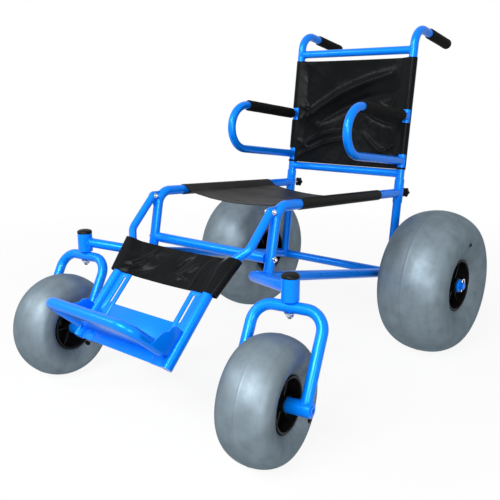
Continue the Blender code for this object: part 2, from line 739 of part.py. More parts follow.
def head_shape(head):
    """A caster head tube with a blind bore for the kingpin."""
    bore = outside(KINGPIN_DIAMETER / 2 + RUNNING_GAP, CUTTER_SIDES)
    radius = HEAD_TUBE / 2
    profile = [
        (0.0, HEAD_TOP), (radius, HEAD_TOP), (radius, HEAD_BOTTOM), (bore, HEAD_BOTTOM),
        (bore, HEAD_BOTTOM + HEAD_BORE_DEPTH), (0.0, HEAD_BOTTOM + HEAD_BORE_DEPTH),
    ]
    return lathe(profile, "Z", CUTTER_SIDES, (head.x, head.y, 0.0))


def build_caster(side, swivel):
    """A bent tube fork with its kingpin, axle and wheel, trailing along local -Y."""
    crown_z = HEAD_BOTTOM - RUNNING_GAP - FORK_TUBE / 2
    axle = Vector((0.0, -CASTER_TRAIL, FRONT_RADIUS))
    half = FORK_SPACING / 2
    corners = [
        (-half, axle.y, axle.z), (-half, 0.0, crown_z), (half, 0.0, crown_z), (half, axle.y, axle.z)]
    fork = add_object(
        f"fork_{side}", sweep(rounded(corners, FORK_BEND_RADIUS), FORK_TUBE / 2), "blue_paint", swivel)
    boss_inner = FRONT_HUB_WIDTH / 2 + RUNNING_GAP
    boss_outer = half + FORK_TUBE / 2 + FORK_BOSS_OVERHANG
    for end, sign in (("left", 1), ("right", -1)):
        path = [(sign * boss_inner, axle.y, axle.z), (sign * boss_outer, axle.y, axle.z)]
        boss = sweep(path, FORK_BOSS_DIAMETER / 2, CUTTER_SIDES)
        join(fork, add_object(f"fork_boss_{side}_{end}", boss, "blue_paint", swivel))
    across = [(-boss_outer * 2, axle.y, axle.z), (boss_outer * 2, axle.y, axle.z)]
    cut(fork, fat_bar(f"front_axle_hole_{side}", across, FRONT_AXLE_DIAMETER / 2, swivel))
    pin_radius = KINGPIN_DIAMETER / 2
    upright = [(0.0, 0.0, crown_z - FORK_TUBE), (0.0, 0.0, crown_z + FORK_TUBE)]
    cut(fork, fat_bar(f"kingpin_hole_{side}", upright, pin_radius, swivel))
    crown_low = crown_z - FORK_TUBE / 2 - GAP
    pin_length = HEAD_BOTTOM + HEAD_BORE_DEPTH - RUNNING_GAP - crown_low
    nut = dome_bolt(pin_radius, pin_length, KINGPIN_NUT_DIAMETER / 2, KINGPIN_NUT_HEIGHT)
    kingpin = [(r, crown_low - h) for r, h in nut]
    add_object(f"kingpin_{side}", lathe(kingpin, "Z", CUTTER_SIDES), "steel", swivel)
    face = boss_outer + GAP
    head = dome_bolt(
        FRONT_AXLE_DIAMETER / 2, 2 * face + FRONT_AXLE_TIP, FRONT_AXLE_HEAD_DIAMETER / 2,
        FRONT_AXLE_HEAD_HEIGHT)
    bolt = [(r, face + h) for r, h in head]
    add_object(f"front_axle_{side}", lathe(bolt, "X", TUBE_SIDES, axle), "steel", swivel)
    wheel = add_empty(f"front_wheel_centre_{side}", axle, parent=swivel)
    build_wheel(
        "front", side, FRONT_TYRE_DIAMETER, FRONT_TYRE_WIDTH, FRONT_HUB_DIAMETER,
        FRONT_HUB_WIDTH, FRONT_AXLE_DIAMETER, FRONT_TYRE_POINTS, wheel)


def build_backrest(guide):
    """Back tubes with push handles, crossbars, armrests, grips and pads."""
    tube = BACK_TUBE / 2
    level = math.cos(HANDLE_DROP)
    drop = math.sin(HANDLE_DROP)
    bars = []
    for name, height in (("lower_crossbar", LOWER_CROSSBAR), ("top_crossbar", TOP_CROSSBAR)):
        path = [(-SIDE_X, 0.0, height), (SIDE_X, 0.0, height)]
        bars.append(add_object(name, sweep(path, ARM_TUBE / 2), "blue_paint", guide))
    for side, sign in SIDES:
        x = sign * SIDE_X
        foot = SOCKET_TOP + GAP
        end = (x, HANDLE_LENGTH * level, HANDLE_CORNER - HANDLE_LENGTH * drop)
        bent = rounded([(x, 0.0, foot), (x, 0.0, HANDLE_CORNER), end], HANDLE_BEND_RADIUS)
        path = [Vector((x, 0.0, SOCKET_TOP - PLUG_LENGTH)), Vector((x, 0.0, foot)), *bent]
        radii = [PLUG_DIAMETER / 2] * 2 + [tube] * len(bent)
        add_object(f"back_tube_{side}", sweep(path, radii), "blue_paint", guide)
        around = fat_bar(
            f"around_back_tube_{side}", [(x, 0.0, foot), (x, 0.0, HANDLE_CORNER)], tube, guide)
        for bar in bars:
            cut(bar, around)
        build_armrest(side, x, around, guide)
        build_grip(side, end, level, drop, guide)


def build_armrest(side, x, around, guide):
    """A looped arm tube welded to the back tube, with a foam pad on top."""
    bend = (ARM_UPPER - ARM_LOWER) / 2
    steps = BEND_STEPS * 2
    front = -ARM_REACH + bend
    turn = arc((front, ARM_LOWER + bend), bend, math.pi / 2, math.pi * 1.5, steps)
    path = [(x, 0.0, ARM_UPPER), *[(x, y, z) for y, z in turn], (x, 0.0, ARM_LOWER)]
    arm = add_object(f"armrest_{side}", sweep(path, ARM_TUBE / 2), "blue_paint", guide)
    cut(arm, around)
    bore = outside(ARM_TUBE / 2 + GAP, TUBE_SIDES)
    full = ARM_PAD_DIAMETER / 2
    stop = -ARM_PAD_SETBACK
    soft = (full - bore) * FOAM_EDGE_SHARE
    pad = [
        (bore, front), (full - soft, front), (full, front + soft), (full, stop - soft),
        (full - soft, stop), (bore, stop),
    ]
    add_object(
        f"arm_pad_{side}", lathe(pad, "Y", TUBE_SIDES, (x, 0.0, ARM_UPPER)), "black_foam", guide)


def build_grip(side, end, level, drop, guide):
    """A foam grip with a closed end on the push handle."""
    bore = outside(BACK_TUBE / 2 + GAP, CUTTER_SIDES)
    full = GRIP_DIAMETER / 2
    stop = GRIP_END_WALL + GAP
    start = stop - GRIP_LENGTH
    soft = (full - bore) * FOAM_EDGE_SHARE
    profile = [
        (0.0, GAP), (bore, GAP), (bore, start), (full - soft, start), (full, start + soft),
        (full, stop - GRIP_END_WALL), (full - GRIP_END_WALL, stop), (0.0, stop),
    ]
    made = add_object(
        f"push_grip_{side}", lathe(profile, "Y", CUTTER_SIDES), "black_foam", guide)
    made.location = end
    made.rotation_euler = (-math.atan2(drop, level), 0.0, 0.0)


def build_knobs(guide):
    """Lobed clamp knobs whose studs go through the socket wall to the plug."""
    stud = KNOB_STUD_DIAMETER / 2
    wall_outer = SOCKET_DIAMETER / 2
    tip = PLUG_DIAMETER / 2 + RUNNING_GAP
    back = wall_outer + KNOB_STANDOFF
    full = KNOB_DIAMETER / 2
    head = [(back + KNOB_THICKNESS * share, full * size, lobe) for share, size, lobe in KNOB_STEPS]
    stations = [(tip, stud, 0.0), (back, stud, 0.0), *head]
    count = KNOB_LOBES * SMALL_BEND_STEPS
    for side, sign in SIDES:
        place = add_empty(f"knob_axis_{side}", (sign * SIDE_X, 0.0, KNOB_JOINT), parent=guide)
        shape = bmesh.new()
        rings = []
        for y, radius, lobe in stations:
            ring = []
            for k in range(count):
                angle = 2 * math.pi * k / count
                reach = radius * (1 + lobe * math.cos(KNOB_LOBES * angle))
                ring.append(shape.verts.new((reach * math.cos(angle), y, reach * math.sin(angle))))
            rings.append(ring)
        close_rings(shape, rings)
        shape.faces.new(rings[0])
        shape.faces.new(rings[-1])
        add_object(f"clamp_knob_{side}", shape, "black_plastic", place)
        reach = [(0.0, 0.0, 0.0), (0.0, SOCKET_DIAMETER, 0.0)]
        hole = fat_bar(f"knob_hole_{side}", reach, stud, place)
        cut(bpy.data.objects[f"back_post_{side}"], hole)


def sleeve_section(half_span, bore, stretch, offset):
    """Section of a sling: a sleeve round each tube and the web between them.

    Returns the points in (across, out of plane) and the quads that fill them.
    stretch draws the round sleeve outwards into a flat loop, and offset(u)
    gives the web's place out of plane for u from -1 to 1.
    """
    points = []
    quads = []
    outer = bore + SLEEVE_WALL
    ring_starts = []
    for sign in (1, -1):
        start = len(points)
        ring_starts.append(start)
        for k in range(SLEEVE_POINTS):
            angle = math.pi + sign * 2 * math.pi * (k + 0.5) / SLEEVE_POINTS
            drawn = stretch if math.cos(angle) > 0 else 0.0
            for radius in (bore, outer):
                across = sign * (half_span + drawn + radius * math.cos(angle))
                points.append((across, radius * math.sin(angle) * sign))
        for k in range(SLEEVE_POINTS):
            here = start + 2 * k
            after = start + 2 * ((k + 1) % SLEEVE_POINTS)
            quads.append((here, here + 1, after + 1, after))
    last = 2 * (SLEEVE_POINTS - 1)
    edge = half_span - outer * math.cos(math.pi / SLEEVE_POINTS)
    left_pair = (ring_starts[0] + last + 1, ring_starts[0] + 1)
    right_pair = (ring_starts[1] + last + 1, ring_starts[1] + 1)
    low_left, high_left = sorted(left_pair, key=lambda i: points[i][1])
    low_right, high_right = sorted(right_pair, key=lambda i: points[i][1])
    previous = (low_left, high_left)
    for k in range(1, WEB_POINTS):
        u = 1 - 2 * k / WEB_POINTS
        centre = offset(u)
        points.append((edge * u, centre - SLING_THICKNESS / 2))
        points.append((edge * u, centre + SLING_THICKNESS / 2))
        here = (len(points) - 2, len(points) - 1)
        quads.append((previous[0], previous[1], here[1], here[0]))
        previous = here
    quads.append((previous[0], previous[1], high_right, low_right))
    return points, quads


def carry_section(stations, quads):
    """A closed solid from one flat section placed at several stations."""
    shape = bmesh.new()
    layers = [[shape.verts.new(p) for p in layer] for layer in stations]
    used = {}
    for quad in quads:
        for a, b in zip(quad, quad[1:] + quad[:1]):
            key = (min(a, b), max(a, b))
            used[key] = used.get(key, 0) + 1
    edges = [key for key, count in used.items() if count == 1]
    for first, second in zip(layers, layers[1:]):
        for a, b in edges:
            shape.faces.new((first[a], first[b], second[b], second[a]))
    for layer in (layers[0], layers[-1]):
        for quad in quads:
            shape.faces.new([layer[i] for i in quad])
    return shape


def build_sling(name, bore, stops, sizes, span, place, parent=None):
    """A sling between two tubes.

    stops lists the stations from 0 to 1 along the tubes and sizes the sag and
    fold heights. span(v) gives half the tube spacing and how far the sleeve is
    drawn outwards, and place(v, across, out) puts a point of the section.
    """
    sag, fold = sizes
    stations = []
    quads = []
    for v in stops:

        def offset(u, v=v):
            slack = sag * (1 - u * u) * (SAG_AT_ENDS + (1 - SAG_AT_ENDS) * math.sin(math.pi * v))
            crease = fold * (1 - u * u) * math.sin(2 * math.pi * FOLD_WAVES * (v + FOLD_SLANT * abs(u)))
            return -slack + crease

        half_span, stretch = span(v)
        points, quads = sleeve_section(half_span, bore, stretch, offset)
        stations.append([place(v, across, out) for across, out in points])
    return add_object(name, carry_section(stations, quads), "black_vinyl", parent)


def build_slings(guide):
    """The seat sling on the side rails and the back sling on the back tubes."""
    corner_y, corner_z = rail_corner()
    seat_up = Vector((0.0, math.sin(SEAT_SLOPE), math.cos(SEAT_SLOPE)))

    def on_seat(v, across, out):
        ahead = SEAT_SLING_FRONT + (SEAT_SLING_REAR - SEAT_SLING_FRONT) * v
        y = REAR_AXLE_Y - ahead
        z = corner_z - (y - corner_y) * math.tan(SEAT_SLOPE)
        return Vector((across, y, z)) + seat_up * out

    def side_span(v):
        return SIDE_X, 0.0

    stops = [k / SLING_STEPS for k in range(SLING_STEPS + 1)]
    rail_bore = outside(FRAME_RADIUS + GAP, SLEEVE_POINTS)
    build_sling("seat_sling", rail_bore, stops, (SEAT_SAG, SLING_FOLD), side_span, on_seat)

    def on_back(v, across, out):
        height = BACK_SLING_BOTTOM + (BACK_SLING_TOP - BACK_SLING_BOTTOM) * v
        return Vector((across, -out, height))

    tube_bore = outside(BACK_TUBE / 2 + GAP, SLEEVE_POINTS)
    back = build_sling(
        "back_sling", tube_bore, stops, (BACK_SAG, SLING_FOLD), side_span, on_back, guide)
    for side, sign in SIDES:
        for level, height in (("upper", ARM_UPPER), ("lower", ARM_LOWER)):
            half = SLEEVE_NOTCH / 2
            x = sign * SIDE_X
            inner, outer = sorted((x - sign * NOTCH_REACH, x + sign * BACK_TUBE))
            low = (inner, -BACK_TUBE, height - half)
            high = (outer, GAP, height + half)
            notch = add_object(
                f"sleeve_notch_{level}_{side}", box(low, high), "black_vinyl", guide)
            cut(back, notch)


def hanger_path(sign):
    """Centre line of one hanger, drawn in by a joggle to the footrest's width."""
    x = sign * SIDE_X
    foot_x = sign * FOOTREST_SPACING / 2
    corners = [
        (x, HANGER_TOP, 0.0), (x, -HANGER_JOGGLE_START, 0.0),
        (foot_x, -HANGER_JOGGLE_END, 0.0), (foot_x, -HANGER_END, 0.0)]
    return rounded(corners, HANGER_JOGGLE_RADIUS, JOGGLE_STEPS)


def build_leg_rest():
    """Hinged hangers with their bolts and strap, and the sliding footplate."""
    hinge_y, hinge_z = hinge_place()
    pivot = add_empty("leg_rest_hinge", (0.0, hinge_y, hinge_z), (HANGER_SLOPE, 0.0, 0.0))
    radius = HANGER_TUBE / 2
    for side, sign in SIDES:
        x = sign * SIDE_X
        tip, *path = hanger_path(sign)
        path.insert(0, tip - Vector((0, HANGER_TIP_LENGTH, 0)))
        radii = [HANGER_TIP_DIAMETER / 2] + [radius] * len(path)
        hanger = add_object(f"hanger_tube_{side}", sweep([tip, *path], radii), "blue_paint", pivot)
        half = BRACKET_THICKNESS / 2 + GAP
        clear = BRACKET_NOSE + HANGER_TUBE
        slot = box((x - half, -clear, -HANGER_TUBE), (x + half, clear, HANGER_TUBE))
        cut(hanger, add_object(f"clevis_slot_{side}", slot, "steel", pivot))
        shank = HINGE_BOLT_DIAMETER / 2
        reach = [(x - HANGER_TUBE, 0.0, 0.0), (x + HANGER_TUBE, 0.0, 0.0)]
        cut(hanger, fat_bar(f"hinge_hole_{side}", reach, shank, pivot))
        start = x + sign * (radius + GAP)
        length = HANGER_TUBE + 2 * GAP + BOLT_TIP
        profile = dome_bolt(shank, length, BOLT_HEAD_DIAMETER / 2, BOLT_HEAD_HEIGHT)
        along = [(r, start + sign * h) for r, h in profile]
        add_object(f"hinge_bolt_{side}", lathe(along, "X", TUBE_SIDES), "steel", pivot)
    build_strap(pivot)
    build_footplate(add_empty("footplate_slide", (0.0, -SLEEVE_START, 0.0), parent=pivot))


def build_strap(pivot):
    """The calf strap, a band looped round both hangers over their joggles."""
    path = hanger_path(1)
    radius = HANGER_TUBE / 2 + GAP
    bore = outside(radius, SLEEVE_POINTS)

    def centre(along):
        for first, second in zip(path, path[1:]):
            if -first.y <= along <= -second.y:
                share = (along + first.y) / (first.y - second.y)
                return first.x + (second.x - first.x) * share
        return path[-1].x

    def inner(v):
        along = STRAP_START + STRAP_LENGTH * v
        slope = max(abs(centre(along + d) - centre(along)) / abs(d) for d in (-FIT_STEP, FIT_STEP))
        return centre(along) - radius * (math.hypot(1.0, slope) - 1.0)

    top = inner(0.0) + STRAP_TOP_SLACK
    bottom = inner(1.0) + STRAP_BOTTOM_SLACK

    def span(v):
        return inner(v), top + (bottom - top) * v - inner(v)

    def on_hangers(v, across, out):
        return Vector((across, -STRAP_START - STRAP_LENGTH * v, out))

    bends = [(-p.y - STRAP_START) / STRAP_LENGTH for p in path]
    stops = [0.0, *[v for v in bends if 0.0 < v < 1.0], 1.0]
    stops.insert(-1, (stops[-2] + stops[-1]) / 2)
    build_sling("calf_strap", bore, stops, (STRAP_SAG, SLING_FOLD / 2), span, on_hangers, pivot)


def build_footplate(slide):
    """Slotted sleeves on the hangers and the folded tray between them."""
    length = SLEEVE_END - SLEEVE_START
    outer = SLEEVE_DIAMETER / 2
    foot_x = FOOTREST_SPACING / 2
    half_plate = SLOT_PLATE_THICKNESS / 2
    plate_edge = foot_x - SLOT_PLATE_WIDTH
    for side, sign in SIDES:
        x = sign * foot_x
        ends = [(x, 0.0, 0.0), (x, -length, 0.0)]
        sleeve = add_object(
            f"hanger_sleeve_{side}", sweep(ends, outer, CUTTER_SIDES), "blue_paint", slide)
        lows = sorted((x, sign * plate_edge))
        plate = box((lows[0], -length, -half_plate), (lows[1], -GAP, half_plate))
        join(sleeve, add_object(f"slot_plate_{side}", plate, "blue_paint", slide))
        bore_end = HANGER_END - SLEEVE_START + BOLT_TIP
        bore = [(x, outer, 0.0), (x, -bore_end, 0.0)]
        cut(sleeve, fat_bar(f"sleeve_bore_{side}", bore, HANGER_TUBE / 2, slide))
        centre = sign * (plate_edge + SLOT_INSET + SLOT_WIDTH / 2)
        slot = box(
            (centre - SLOT_WIDTH / 2, -SLOT_START - SLOT_LENGTH, -outer),
            (centre + SLOT_WIDTH / 2, -SLOT_START, outer))
        cut(sleeve, add_object(f"slot_{side}", slot, "steel", slide))
    build_tray(slide, foot_x - outer - GAP, plate_edge - GAP, half_plate + GAP)


def build_tray(slide, width, heel_width, rise):
    """The folded footplate: heel plate, rounded fold, plate, cheeks and tube rim.

    width and heel_width are half widths, and rise is where the wide part may
    start in front of the slotted plates.
    """
    fold = -(FOLD_AT - SLEEVE_START)
    half = SHEET / 2
    turn = (fold + FOLD_RADIUS, FOLD_RADIUS)
    last = -math.pi - FOOTPLATE_TILT
    below = arc(turn, FOLD_RADIUS + half, -math.pi / 2, last, BEND_STEPS)
    above = arc(turn, FOLD_RADIUS - half, last, -math.pi / 2, BEND_STEPS)
    plate_start = arc(turn, FOLD_RADIUS, last, last, 1)[0]

    def on_plate(out, lift):
        """A point that lies out along the tilted plate and is lifted off it."""
        y = plate_start[0] + (out - plate_start[1]) * math.tan(FOOTPLATE_TILT)
        return y + lift * math.cos(FOOTPLATE_TILT), out - lift * math.sin(FOOTPLATE_TILT)

    sheet = [
        (fold + HEEL_HEIGHT, -half), *below, on_plate(FOOTPLATE_DEPTH, -half),
        on_plate(FOOTPLATE_DEPTH, half), *above, (fold + HEEL_HEIGHT, half),
    ]
    tray = add_object("footplate_tray", prism(sheet, "X", -width, width), "blue_paint", slide)
    for side, sign in SIDES:
        lows = sorted((sign * heel_width, sign * width * 2))
        room = box((lows[0], fold - HEEL_HEIGHT, -HEEL_HEIGHT), (lows[1], fold + HEEL_HEIGHT * 2, rise))
        cut(tray, add_object(f"slot_plate_room_{side}", room, "blue_paint", slide))
    rim = RIM_TUBE / 2
    inner_rim = on_plate(RIM_RETURN, RIM_LIFT)
    outer_rim = on_plate(FOOTPLATE_DEPTH, RIM_LIFT)
    corners = [
        (-width, *inner_rim), (-width, *outer_rim), (width, *outer_rim), (width, *inner_rim)]
    lip = sweep(rounded(corners, RIM_BEND_RADIUS, SMALL_BEND_STEPS), rim)
    join(tray, add_object("front_lip", lip, "blue_paint", slide))
    for side, sign in SIDES:
        corner = (fold + CHEEK_HEIGHT - CHEEK_CORNER, rise + CHEEK_DEPTH - CHEEK_CORNER)
        outline = [
            (fold - half, rise), (fold + CHEEK_HEIGHT, rise),
            *arc(corner, CHEEK_CORNER, 0.0, math.pi / 2, SMALL_BEND_STEPS),
            on_plate(FOOTPLATE_DEPTH - RIM_BEND_RADIUS, half),
            on_plate(FOOTPLATE_DEPTH - RIM_BEND_RADIUS, -half),
        ]
        lows = sorted((sign * width, sign * (width - SHEET)))
        cheek = prism(outline, "X", lows[0], lows[1])
        join(tray, add_object(f"footplate_cheek_{side}", cheek, "blue_paint", slide))


def main():
    """Build every piece in its place."""
    clear_scene()
    add_empty(ROOT, (MIDDLE_X, 0.0, 0.0))
    guide = post_guide()
    build_rear_wheels()
    build_side_frames(guide)
    build_front_end()
    build_backrest(guide)
    build_knobs(guide)
    build_slings(guide)
    build_leg_rest()


main()
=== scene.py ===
"""Looks of a beach wheelchair with balloon tyres.

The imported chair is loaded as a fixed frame. Each piece is then modelled again
at full smoothness from the chair's own sizes, given its finish and hung on the
body that carries it. Metres, +Z up; the chair faces -Y and +X is the
occupant's left.
"""

import json
import logging
import math
from collections.abc import Callable, Iterable, Sequence
from dataclasses import dataclass, field
from enum import Enum

import bmesh
import bpy
import numpy as np
from mathutils import Matrix, Vector, noise


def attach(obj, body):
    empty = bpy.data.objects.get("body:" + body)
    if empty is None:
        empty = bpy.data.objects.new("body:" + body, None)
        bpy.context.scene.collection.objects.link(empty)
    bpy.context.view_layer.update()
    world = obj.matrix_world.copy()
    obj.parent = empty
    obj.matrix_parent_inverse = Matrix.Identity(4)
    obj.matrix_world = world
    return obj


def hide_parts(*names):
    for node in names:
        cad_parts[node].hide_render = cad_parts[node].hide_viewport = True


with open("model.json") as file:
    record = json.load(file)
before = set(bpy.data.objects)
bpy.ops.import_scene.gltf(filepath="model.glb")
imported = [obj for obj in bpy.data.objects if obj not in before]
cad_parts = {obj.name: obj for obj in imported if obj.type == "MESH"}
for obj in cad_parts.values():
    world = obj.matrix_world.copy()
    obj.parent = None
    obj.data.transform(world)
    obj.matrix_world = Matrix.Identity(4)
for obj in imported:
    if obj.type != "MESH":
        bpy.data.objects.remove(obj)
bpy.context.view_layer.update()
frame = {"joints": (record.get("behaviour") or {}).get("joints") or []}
JOINTS = {joint["name"]: joint for joint in frame["joints"]}
LOG = logging.getLogger("chair")

# Room between pieces that touch, room between pieces that slip over each other,
# and the easing of a turned piece's edges.
GAP = 0.0003
PLAY = 0.0006
EASE = 0.0015

Colour = tuple[float, float, float]
Point = tuple[float, float, float]
Flat = tuple[float, float]


class Side(Enum):
    """A side of the chair, named for the occupant."""

    LEFT = "L"
    RIGHT = "R"

    @property
    def sign(self) -> int:
        """+1 towards +X, -1 towards -X."""
        return 1 if self is Side.LEFT else -1

    @property
    def word(self) -> str:
        """The side as a word for piece names."""
        return self.name.lower()

    def node(self, name: str) -> str:
        """The name of a CAD node, joint or body on this side."""
        return f"{name}_{self.value}"


class Wire:
    """An output of a node that takes part in Python arithmetic."""

    def __init__(self, board: "Board", socket: bpy.types.NodeSocket) -> None:
        """Keep the tree and the socket."""
        self.board = board
        self.socket = socket

    def of(self, output: str | int) -> "Wire":
        """Another output of the same node."""
        return Wire(self.board, self.socket.node.outputs[output])

    def _reckon(self, operation: str, first: "Wire | float", second: "Wire | float") -> "Wire":
        """A Math node on two values.

        Args:
            operation: The Math node's operation.
            first: The upper value.
            second: The lower value.

        Returns:
            The result's output.
        """
        return self.board.add("ShaderNodeMath", {"operation": operation}, {0: first, 1: second})

    def __add__(self, other: "Wire | float") -> "Wire":
        """Sum."""
        return self._reckon("ADD", self, other)

    __radd__ = __add__

    def __mul__(self, other: "Wire | float") -> "Wire":
        """Product."""
        return self._reckon("MULTIPLY", self, other)

    __rmul__ = __mul__

    def __sub__(self, other: "Wire | float") -> "Wire":
        """Difference."""
        return self._reckon("SUBTRACT", self, other)

    def __rsub__(self, other: "Wire | float") -> "Wire":
        """Difference from a number."""
        return self._reckon("SUBTRACT", other, self)

    def within(self, low: float, high: float) -> "Wire":
        """The value spread from 0 at low to 1 at high.

        Args:
            low: Value that becomes 0.
            high: Value that becomes 1.

        Returns:
            The clamped share.
        """
        return self.board.add("ShaderNodeMapRange", {}, {"Value": self, "From Min": low, "From Max": high})


class Board:
    """A node tree with one method that makes every node."""

    def __init__(self, tree: bpy.types.NodeTree) -> None:
        """Keep the tree."""
        self.tree = tree

    def feed(self, socket: bpy.types.NodeSocket, value: object) -> None:
        """Link a wire to a socket, or set the socket's own value.

        Args:
            socket: The input to fill.
            value: A wire, or a plain value.
        """
        if isinstance(value, Wire):
            self.tree.links.new(value.socket, socket)
        else:
            socket.default_value = value

    def node(
        self, kind: str, settings: dict | None = None, inputs: dict | None = None
    ) -> bpy.types.Node:
        """Make a node.

        Args:
            kind: The node's type.
            settings: Its own settings, set first.
            inputs: Values or wires for its sockets, by name or number.

        Returns:
            The new node.
        """
        made = self.tree.nodes.new(kind)
        for name, value in (settings or {}).items():
            setattr(made, name, value)
        for key, value in (inputs or {}).items():
            self.feed(made.inputs[key], value)
        return made

    def add(
        self, kind: str, settings: dict | None = None, inputs: dict | None = None, output: str | int = 0
    ) -> Wire:
        """Make a node and take one of its outputs."""
        return Wire(self, self.node(kind, settings, inputs).outputs[output])

    def blend(self, share: Wire | float, first: object, second: object) -> Wire:
        """A colour between two colours.

        Args:
            share: 0 for the first colour, 1 for the second.
            first: A colour or a wire.
            second: A colour or a wire.

        Returns:
            The mixed colour.
        """
        pair = [(*c, 1.0) if isinstance(c, tuple) else c for c in (first, second)]
        return self.add(
            "ShaderNodeMix", {"data_type": "RGBA"}, {0: share, 6: pair[0], 7: pair[1]}, output=2)

    def speckle(self, place: Wire, scale: float, detail: float = 2.0) -> Wire:
        """Smooth noise from 0 to 1.

        Args:
            place: The coordinates.
            scale: Waves per metre.
            detail: Octaves.

        Returns:
            The noise value.
        """
        return self.add("ShaderNodeTexNoise", {}, {"Vector": place, "Scale": scale, "Detail": detail})

    def bump(self, height: Wire, distance: float, strength: float, under: Wire | None = None) -> Wire:
        """A bumped normal.

        Args:
            height: The height, from 0 to 1.
            distance: What a height of 1 means, in metres.
            strength: Share of the effect.
            under: A normal that this one adds to.

        Returns:
            The normal.
        """
        inputs = {"Height": height, "Distance": distance, "Strength": strength}
        if under:
            inputs["Normal"] = under
        return self.add("ShaderNodeBump", {}, inputs)


@dataclass(frozen=True)
class Finish:
    """What every finish has: a name, a slot of the record, a colour, its roughness and its shine."""

    name: str
    slot: str
    colour: Colour
    roughness: float
    shine: float

    def material(self) -> bpy.types.Material:
        """The finish's material, made once.

        Returns:
            The material.
        """
        found = bpy.data.materials.get(self.name)
        if found:
            return found
        made = bpy.data.materials.new(self.name)
        made.use_nodes = True
        made.diffuse_color = (*self.colour, 1.0)
        shader = made.node_tree.nodes["Principled BSDF"].inputs
        shader["Specular IOR Level"].default_value = self.shine
        self.paint(Board(made.node_tree), shader)
        return made

    def paint(self, board: Board, shader: bpy.types.NodeInputs) -> None:
        """Fill the shader's sockets; each finish has its own way."""
        raise NotImplementedError


@dataclass(frozen=True)
class PowderCoat(Finish):
    """Bright gloss powder coat, faintly pearly, with a little orange peel."""

    shade: Colour = (0.0, 0.165, 0.86)
    pearl: float = 0.26
    coat: float = 0.11
    coat_roughness: float = 0.10

    def paint(self, board: Board, shader: bpy.types.NodeInputs) -> None:
        """Drifting tone, uneven gloss and orange peel.

        Args:
            board: The material's tree.
            shader: The sockets to fill.
        """
        place = board.add("ShaderNodeTexCoord", output="Object")
        drift = board.speckle(place, 5.0, 2.0)
        scuff = board.speckle(place, 40.0, 4.0)
        peel = board.speckle(place, 420.0)
        tone = board.blend(drift.within(0.4, 0.85) * 0.25, self.colour, self.shade)
        board.feed(shader["Base Color"], tone)
        board.feed(shader["Roughness"], scuff.within(0.3, 0.8) * 0.06 + self.roughness)
        board.feed(shader["Normal"], board.bump(peel, 0.0003, 0.05))
        shader["Metallic"].default_value = self.pearl
        shader["Coat Weight"].default_value = self.coat
        shader["Coat Roughness"].default_value = self.coat_roughness


@dataclass(frozen=True)
class BalloonSkin(Finish):
    """Pearly grey moulded polyurethane with flow marks, handling dust and painted shade towards the bead."""

    # The darker tone that the cloud, the flow marks and the painted shade at the bead blend towards.
    shade: Colour = (0.120, 0.150, 0.170)
    tint: Colour = (0.35, 0.40, 0.44)
    pearl: float = 0.62

    def paint(self, board: Board, shader: bpy.types.NodeInputs) -> None:
        """Cloudy grey with fine moulding grain, darkened towards the bead by painted shade.

        Args:
            board: The material's tree.
            shader: The sockets to fill.
        """
        place = board.add("ShaderNodeTexCoord", output="Object")
        depth = board.add("ShaderNodeAttribute", {"attribute_name": "depth"}, output="Fac")
        across = board.add("ShaderNodeAttribute", {"attribute_name": "across"}, output="Fac")
        cloud = board.speckle(place, 24.0, 6.0)
        grain = board.speckle(place, 340.0, 3.0)
        streak = board.add(
            "ShaderNodeTexNoise", {"noise_dimensions": "1D"}, {"W": across, "Scale": 16.0, "Detail": 3.0})
        # The depth term is painted shade: it darkens the side wall towards the bead, where the tyre meets the
        # hub.
        tone = cloud.within(0.35, 0.75) * 0.55 + streak.within(0.4, 0.75) * 0.10 + depth * 0.25
        board.feed(shader["Base Color"], board.blend(tone, self.colour, self.shade))
        board.feed(shader["Roughness"], cloud.within(0.25, 0.8) * 0.11 + grain * 0.05 + self.roughness)
        soft = board.bump(cloud, 0.0030, 0.20)
        board.feed(shader["Normal"], board.bump(grain, 0.0005, 0.08, soft))
        shader["Specular Tint"].default_value = (*self.tint, 1.0)
        shader["Metallic"].default_value = self.pearl


@dataclass(frozen=True)
class CoatedCloth(Finish):
    """Black coated cloth: a fine leathery grain with a soft shine."""

    sheen: Colour = (0.0085, 0.0092, 0.0098)

    def paint(self, board: Board, shader: bpy.types.NodeInputs) -> None:
        """Grain from small cells, with polished and dull patches.

        Args:
            board: The material's tree.
            shader: The sockets to fill.
        """
        place = board.add("ShaderNodeTexCoord", output="Object")
        patch = board.speckle(place, 16.0, 4.0)
        cells = board.add(
            "ShaderNodeTexVoronoi", {"feature": "SMOOTH_F1"}, {"Vector": place, "Scale": 620.0})
        tone = board.blend(patch.within(0.35, 0.8) * 0.5 + cells * 0.25, self.colour, self.sheen)
        board.feed(shader["Base Color"], tone)
        board.feed(shader["Roughness"], patch.within(0.3, 0.8) * 0.10 + cells * 0.06 + self.roughness)
        board.feed(shader["Normal"], board.bump(cells, 0.0005, 0.10))


@dataclass(frozen=True)
class Foam(Finish):
    """Matt black closed-cell foam."""

    dust: Colour = (0.011, 0.0108, 0.0105)

    def paint(self, board: Board, shader: bpy.types.NodeInputs) -> None:
        """Fine cells and a little dust.

        Args:
            board: The material's tree.
            shader: The sockets to fill.
        """
        place = board.add("ShaderNodeTexCoord", output="Object")
        cells = board.add("ShaderNodeTexVoronoi", {}, {"Vector": place, "Scale": 900.0})
        dust = board.speckle(place, 60.0, 5.0)
        board.feed(shader["Base Color"], board.blend(dust.within(0.4, 0.8), self.colour, self.dust))
        board.feed(shader["Roughness"], cells * 0.15 + self.roughness)
        board.feed(shader["Normal"], board.bump(cells, 0.0008, 0.35))


